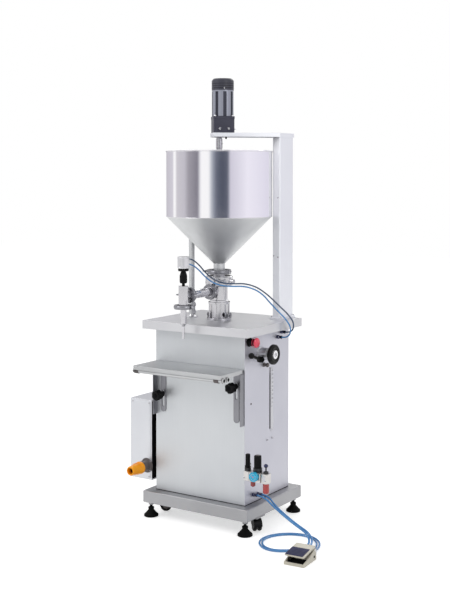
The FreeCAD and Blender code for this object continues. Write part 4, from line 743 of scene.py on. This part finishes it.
# panel controls
wheel = {"y": -0.06, "z": 0.708, "middle": 0.285, "rim": 0.04}
spokesOf("wheelKnurl", 36, 0.0388, 0.0404, -0.0055, 0.0055, 0.0012,
         (wheel["middle"], wheel["y"], wheel["z"]), right, "black", "wheel")
ringOf("wheelBand", 0.033, 0.0018, (wheel["middle"] + 0.0088, wheel["y"], wheel["z"]), right, "black", "wheel")
hexHead("wheelNut", (0.2898, wheel["y"], wheel["z"]), right, 0.0062, 0.0042, body="wheel")
ringOf("bearingBand", 0.0242, 0.0012, (0.26, wheel["y"], wheel["z"]), right, "aluminium")
for k in range(3):
    angle = math.radians(90 + 120 * k)
    capScrew("bearingScrew%d" % k, (0.2255, wheel["y"] + 0.0245 * math.cos(angle),
                                    wheel["z"] + 0.0245 * math.sin(angle)), right, 0.0026)
ringOf("leverHub", 0.012, 0.0012, (0.248, -0.1, 0.69), right, "black", "lever", steps=32)
hexHead("leverScrew", (0.262, -0.1, 0.69), right, 0.0048, 0.0008, body="machine")
ringOf("stopRing", 0.0178, 0.0014, (0.2215, -0.141, 0.763), right, "dark", steps=40)
ringOf("stopNeck", 0.0152, 0.0009, (0.233, -0.141, 0.763), right, "black", steps=40)
ringOf("stopHeadEdge", 0.0196, 0.001, (0.245, -0.141, 0.763), right, "redPlastic", "stop_button", steps=48)
spokesOf("stopGrip", 3, 0.006, 0.0125, 0, 0.0004, 0.001, (0.26225, -0.141, 0.763), right, "redPlastic",
         "stop_button")
for k, (y, z) in enumerate(((0.108, 0.775), (0.08, 0.757), (-0.113, 0.143), (-0.076, 0.137))):
    lathe("pushCollar%d" % k, [(0.0058, 0), (0.0066, 0.0008), (0.0066, 0.0034), (0.0056, 0.0044), (0.0042, 0.0044)],
          (0.237, y, z), right, "dark" if k < 2 else "darkBlue", steps=24)
    ringOf("nutFace%d" % k, 0.007, 0.0005, (0.2291, y, z), right, "polished", steps=24)

# air unit: dial, grips, bowls and bolts
unitY = -0.178
dial = {"at": (0.284, -0.2143, 0.246), "face": 0.0158}
lathe("gaugeFace", [(0, 0.0004), (dial["face"] - 0.0012, 0.0004), (dial["face"], 0)], dial["at"], front,
      "cyan", steps=40)
spokesOf("gaugeMarks", 16, 0.0108, 0.0136, 0.0004, 0.0007, 0.0004, dial["at"], front, "plateWhite")
barsOf("gaugeNeedle", [((-0.0006, -0.0003, -0.004), (0.0006, 0.0003, 0.0105)),
                       ((-0.0016, -0.0004, -0.0016), (0.0016, 0.0004, 0.0016))], "redPlastic",
       turn=Matrix.Translation((0.284, -0.215, 0.246)) @ Matrix.Rotation(math.radians(-50), 4, "Y"))
ringOf("gaugeBezel", 0.018, 0.0011, (0.284, -0.214, 0.246), front, "cyan", steps=48)
lathe("gaugeNut", [(0.0078, 0), (0.0078, 0.004), (0.005, 0.0046)], (0.284, -0.197, 0.246), front,
      "polished", steps=6)
ringOf("regulatorRing", 0.0172, 0.0016, (0.284, unitY, 0.264), up, "black", steps=40)
lathe("regulatorCap", [(0, 0.0006), (0.0085, 0.0006), (0.0095, 0), (0.0095, -0.001)], (0.284, unitY, 0.3252),
      up, "grey", "pressure_grip", steps=32)
lathe("inletCap", [(0, 0.0006), (0.0055, 0.0006), (0.0062, 0), (0.0062, -0.001)], (0.238, unitY, 0.3252),
      up, "grey", "inlet_grip", steps=28)
spokesOf("bowlRibsSmall", 8, 0.0092, 0.0099, 0.004, 0.02, 0.0007, (0.262, unitY, 0.198), up, "redBowl")
spokesOf("bowlRibsLarge", 10, 0.0117, 0.0124, 0.006, 0.037, 0.0008, (0.322, unitY, 0.179), up, "redBowl")
for k, (x, radius) in enumerate(((0.262, 0.0104), (0.322, 0.013))):
    ringOf("bowlCollar%d" % k, radius, 0.0016, (x, unitY, 0.2205), up, "aluminium", flat=0.9, steps=36)
ringOf("drainRing", 0.006, 0.0012, (0.322, unitY, 0.18), up, "aluminium", steps=24)
lathe("sightDome", [(0.0075, -0.003), (0.0086, 0), (0.008, 0.0035), (0.005, 0.007), (0, 0.0082)],
      (0.322, unitY, 0.288), up, "darkBlue", steps=28)
for k, x in enumerate((0.2315, 0.3015, 0.33)):
    capScrew("unitScrew%d" % k, (x, unitY - 0.0169 if x != 0.3015 else unitY - 0.0189, 0.2325), front, 0.0028)
barsOf("unitWindow", [((0.3165, unitY - 0.0178, 0.229), (0.3275, unitY - 0.0168, 0.251))], "plateWhite")
for k, z in enumerate((0.231, 0.269)):
    capScrew("unitPlateScrew%d" % k, (0.2229, -0.138, z), right, 0.003)
print("controls dressed")

# electric box: cover and its screws, socket flange, screws and lip, the plug with its ribs, bands and gland, and a pad
# of painted shade in the gap
barsOf("boxCover", [((-0.348, -0.1735, 0.152), (-0.252, -0.1719, 0.474))], "sheet", soft=0.0007, segments=2)
for k, (x, z) in enumerate(((-0.343, 0.157), (-0.257, 0.157), (-0.343, 0.469), (-0.257, 0.469))):
    capScrew("coverScrew%d" % k, (x, -0.1733, z), front, 0.0028)
socket = (-0.269, 0.204)
lathe("socketFlange", [(0.0251, 0), (0.03, 0), (0.031, 0.001), (0.031, 0.003), (0.03, 0.004),
                       (0.0251, 0.004)],
      (socket[0], -0.1717, socket[1]), front, "grey", steps=48)
for k, (dx, dz) in enumerate(((-0.0198, -0.0198), (0.0198, -0.0198), (-0.0198, 0.0198), (0.0198, 0.0198))):
    capScrew("socketScrew%d" % k, (socket[0] + dx, -0.1754, socket[1] + dz), front, 0.0024)
ringOf("socketLip", 0.0232, 0.0014, (socket[0], -0.213, socket[1]), front, "grey", steps=40)
plugBase = -0.186
plugShell = lathe("plugShell", [(0, 0), (0.019, 0), (0.019, 0.0305), (0.0245, 0.0305), (0.025, 0.031),
                                (0.025, 0.0436), (0.0245, 0.0442), (0.0231, 0.0465), (0.023, 0.066),
                                (0.0184, 0.096), (0.0178, 0.101), (0.0168, 0.102), (0.014, 0.102),
                                (0.0132, 0.101), (0.0125, 0.08), (0, 0.08)],
                  (socket[0], plugBase, socket[1]), front, "orange", "plug", steps=56)
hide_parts("power_plug")
spokesOf("plugRibs", 12, 0.022, 0.0242, 0.05, 0.067, 0.0014, (socket[0], plugBase, socket[1]), front,
         "orange", "plug")
ringOf("plugBand", 0.0246, 0.0013, (socket[0], plugBase - 0.0375, socket[1]), front, "orange", "plug", steps=48)
ringOf("plugNeck", 0.0181, 0.0014, (socket[0], plugBase - 0.0975, socket[1]), front, "orange", "plug", steps=40)
lathe("plugGland", [(0, 0), (0.0122, 0.0004), (0.0118, 0.003), (0.006, 0.004), (0, 0.002)],
      (socket[0], plugBase - 0.0805, socket[1]), front, "dark", "plug", steps=28)
# a dark sheet on the box's right wall: painted shade in the gap beside the cabinet
barsOf("boxGapShade", [((-0.244, -0.17, 0.15), (-0.2425, 0.086, 0.476))], "dark", soft=0.0004, segments=2)

# work shelf: bar ends, bracket bolts; star knobs
shelfBars = {"front": -0.3213, "rear": -0.2913, "height": 0.635, "end": 0.22}
for name in ("front", "rear"):
    for side in (-1, 1):
        lathe("barEnd%s%s" % (name.title(), "Left" if side < 0 else "Right"),
              [(0, 0.0000), (0.007, 0.0000), (0.0088, -0.0008), (0.0098, -0.003), (0.0102, -0.0034),
               (0.0102, -0.006)],
              (side * shelfBars["end"], shelfBars[name], shelfBars["height"]), (side, 0, 0),
              "black" if side < 0 else "grey", "shelf", steps=28)
for k, (name, x) in enumerate((("front", -0.214), ("rear", -0.196), ("front", 0.176))):
    lathe("barSleeve%d" % k, [(0.0102, 0), (0.0112, 0), (0.012, 0.001), (0.012, 0.021), (0.0112, 0.022),
                              (0.0102, 0.022)],
          (x, shelfBars[name], shelfBars["height"]), right, "grey", "shelf", steps=32)
for side, x in (("left", -0.181), ("right", 0.181)):
    hexHead("bracketBolt" + side.title(), (x - 0.026 * (1 if x < 0 else -1), -0.1753, 0.6255), front,
            0.0052, 0.0036, body="shelf")
for side, x, z in (("left", -0.181, 0.518), ("right", 0.181, 0.586)):
    lathe("starCap" + side.title(), [(0, 0.0008), (0.0085, 0.0008), (0.01, 0), (0.01, -0.001)],
          (x, -0.2314, z), front, "dark", side + "_grip", steps=32)
    ringOf("starWasher" + side.title(), 0.0108, 0.001, (x, -0.1768, z), front, "polished",
           side + "_grip", steps=32)
print("shelf and electric box dressed")

# rear door: louvres, hinge caps and latch ring
louvres = []
for row in range(6):
    z = 0.64 + 0.018 * row
    louvres.append(((-0.07, 0.1745, z), (0.07, 0.1772, z + 0.007)))
barsOf("doorLouvres", louvres, "sheet", "door", soft=0.0012)
for k, z in enumerate((0.27, 0.74)):
    lathe("hingeCap%d" % k, [(0.003, 0), (0.005, 0.0004), (0.0046, 0.0016), (0, 0.002)],
          (-0.2, 0.179, z + 0.0003), up, "polished", steps=20)
ringOf("latchRing", 0.0112, 0.0009, (0.175, 0.1782, 0.45), rear, "polished", "latch", steps=36)

# pedal, turned a little on the floor
pedalTurn = Matrix.Translation((0.561, -0.328, 0)) @ Matrix.Rotation(math.radians(4), 4, "Z")
padPlane = pedalTurn @ Matrix.Translation((0, -0.051, 0.038)) @ Matrix.Rotation(math.atan2(0.013, 0.102), 4, "X")
pad = barsOf("footPad", [((-0.038, 0.001, -0.0003), (0.033, 0.065, 0.0022))], "navyPad", "treadle", 0.0008, padPlane)
ridges = [((-0.034, 0.0045 + 0.0098 * k, 0.0018), (0.029, 0.01 + 0.0098 * k, 0.0032)) for k in range(6)]
padRidges = barsOf("padRidges", ridges, "navyPad", "treadle", soft=0.0006, turn=padPlane)
teeth = [((-0.0345 + 0.0086 * k, -0.055, 0.0045), (-0.03 + 0.0086 * k, -0.0535, 0.0105)) for k in range(8)]
# dark sheets on the floor and walls inside the pedal base: painted shade under the treadle
wellShadeSpans = [((-0.0362, -0.048, 0.005), (0.0362, 0.048, 0.0058)),
              ((-0.0362, 0.049, 0.005), (0.0362, 0.0499, 0.03)),
              ((-0.0368, -0.03, 0.006), (-0.036, 0.048, 0.02)),
              ((0.036, -0.03, 0.006), (0.0368, 0.048, 0.02))]
pedalWellShade = barsOf("pedalWellShade", wellShadeSpans, "dark", "machine", soft=0.0002, turn=pedalTurn)
frontTeeth = barsOf("frontTeeth", teeth, "pedalPaint", "machine", soft=0.0006, turn=pedalTurn)
for side in (-1, 1):
    for k, (y, z, finish) in enumerate(((0.043, 0.037, "polished"), (0.035, 0.0145, "dark"))):
        spot = pedalTurn @ Vector((side * 0.0408, y, z))
        way = pedalTurn.to_3x3() @ Vector((side, 0, 0))
        lathe("pedalScrew%s%d" % ("L" if side < 0 else "R", k),
                                 [(0.0045, 0), (0.0042, 0.0012), (0.002, 0.0018), (0.0018, 0.001), (0, 0.001)],
                                 spot, way, finish, steps=20)
for k, x in enumerate((-0.01, 0.002)):
    spot = pedalTurn @ Vector((x, 0.0625, 0.02))
    way = pedalTurn.to_3x3() @ Vector(rear)
    lathe("pedalCollar%d" % k,
                             [(0.005, -0.003), (0.0056, -0.002), (0.0056, 0.0008), (0.0046, 0.0014), (0.0042, 0.0014)],
                             spot, way, "dark", steps=24)

# floor, backdrop and studio light
def seenDirectly(tree):
    # 1 for what the camera sees straight, in a shiny surface or through a clear one
    paths = tree.nodes.new("ShaderNodeLightPath")
    seen = mathNode(tree, "MAXIMUM", paths.outputs["Is Camera Ray"], paths.outputs["Is Glossy Ray"])
    return mathNode(tree, "MAXIMUM", seen, paths.outputs["Is Transmission Ray"])


floorMesh = bpy.data.meshes.new("studioFloor")
floorMesh.from_pydata([(-14, -14, 0), (14, -14, 0), (14, 14, 0), (-14, 14, 0)], [], [(0, 1, 2, 3)])
floor = bpy.data.objects.new("studioFloor", floorMesh)
floor.location.z = -0.0005
scene.collection.objects.link(floor)
floorPaint = bpy.data.materials.new("studioFloor")
floorPaint.use_nodes = True
floorTree = floorPaint.node_tree
floorShader = floorTree.nodes["Principled BSDF"]
floorShader.inputs["Base Color"].default_value = (0.78, 0.78, 0.78, 1)
floorShader.inputs["Roughness"].default_value = 0.95
floorShader.inputs["Specular IOR Level"].default_value = 0.1
floorShader.inputs["Emission Color"].default_value = (1, 1, 1, 1)
lift = mathNode(floorTree, "MULTIPLY", seenDirectly(floorTree), 0.52)
floorTree.links.new(lift, floorShader.inputs["Emission Strength"])
floorMesh.materials.append(floorPaint)

# a ring of studio cards, far outside the view, that only shiny metal shows
ringSpec = {
    "middle": (-0.012, -0.008), "radius": 3.4, "low": 1.02, "high": 1.78, "steps": 180,
    # degrees round the ring from +X, and the shade there
    "shades": [(-201, (0.8, 0.79, 0.82)), (-173, (0.84, 0.83, 0.86)), (-170, (1.0, 1.0, 1.0)),
               (-163, (1.0, 1.0, 1.0)), (-158, (0.82, 0.81, 0.83)), (-134, (0.78, 0.77, 0.8)),
               (-124, (0.64, 0.63, 0.66)), (-102, (0.52, 0.51, 0.55)), (-97, (0.88, 0.88, 0.9)),
               (-94, (1.0, 1.0, 1.0)), (-78, (1.0, 1.0, 1.0)), (-71, (0.68, 0.7, 0.74)),
               (-62, (0.4, 0.42, 0.48)), (-50, (0.3, 0.32, 0.38)), (-40, (0.36, 0.38, 0.44)),
               (-37, (0.52, 0.53, 0.58)), (-34, (0.82, 0.81, 0.86)), (5, (0.95, 0.94, 0.98)),
               (60, (0.9, 0.89, 0.94)), (80, (0.88, 0.87, 0.92)), (84, (0.01, 0.01, 0.01)),
               (124, (0.01, 0.01, 0.01)), (130, (0.76, 0.75, 0.78)), (159, (0.8, 0.79, 0.82))],
}


def ringShade(angle):
    stops = ringSpec["shades"]
    for (a, first), (b, second) in zip(stops, stops[1:]):
        if a <= angle <= b:
            part = (angle - a) / (b - a)
            return tuple(x + (y - x) * part for x, y in zip(first, second))
    return stops[0][1]


ringShape = bmesh.new()
tone = ringShape.loops.layers.float_color.new("shade")
columns = []
for k in range(ringSpec["steps"]):
    angle = math.radians(-201 + 360 * k / ringSpec["steps"])
    x = ringSpec["middle"][0] + ringSpec["radius"] * math.cos(angle)
    y = ringSpec["middle"][1] + ringSpec["radius"] * math.sin(angle)
    columns.append([ringShape.verts.new((x, y, z)) for z in (ringSpec["low"], ringSpec["high"])])
for k, (near, far) in enumerate(zip(columns, columns[1:] + columns[:1])):
    face = ringShape.faces.new((near[0], far[0], far[1], near[1]))
    for loop in face.loops:
        index = k if loop.vert in near else k + 1
        loop[tone] = (*linear(ringShade(-201 + 360 * index / ringSpec["steps"])), 1)
ringMesh = bpy.data.meshes.new("studioCards")
ringShape.to_mesh(ringMesh)
ringShape.free()
cards = bpy.data.objects.new("studioCards", ringMesh)
scene.collection.objects.link(cards)
cardPaint = bpy.data.materials.new("studioCards")
cardPaint.use_nodes = True
cardTree = cardPaint.node_tree
cardShader = cardTree.nodes["Principled BSDF"]
cardShader.inputs["Base Color"].default_value = (0, 0, 0, 1)
cardShader.inputs["Specular IOR Level"].default_value = 0
cardShader.inputs["Emission Strength"].default_value = 1
shades = cardTree.nodes.new("ShaderNodeVertexColor")
shades.layer_name = "shade"
cardTree.links.new(shades.outputs["Color"], cardShader.inputs["Emission Color"])
ringMesh.materials.append(cardPaint)
cards.visible_camera = False
cards.visible_diffuse = False
cards.visible_shadow = False
cards.visible_transmission = False


def softLamp(name, place, target, size, power):
    data = bpy.data.lights.new(name, "AREA")
    data.shape = "RECTANGLE"
    data.size, data.size_y = size
    data.energy = power
    lamp = bpy.data.objects.new(name, data)
    lamp.matrix_world = Matrix.Translation(place) @ axisTurn(Vector(place) - Vector(target))
    scene.collection.objects.link(lamp)
    return lamp


softLamp("keyLamp", (-2.6, -3.6, 4.2), (0, 0, 0.9), (2.6, 2.6), 95)
softLamp("sideLamp", (3.6, -1.4, 3.0), (0, 0, 0.8), (2.2, 2.4), 36)
softLamp("backLamp", (-1.0, 3.4, 3.4), (0, 0, 1.0), (2.4, 2.0), 30)

world = bpy.data.worlds.new("studioWorld")
scene.world = world
world.use_nodes = True
worldTree = world.node_tree
backdrop = worldTree.nodes["Background"]
strength = mixNode(worldTree, seenDirectly(worldTree), 0.62, 1.0)
worldTree.links.new(strength, backdrop.inputs["Strength"])
backdrop.inputs["Color"].default_value = (1, 1, 1, 1)
print("studio ready")
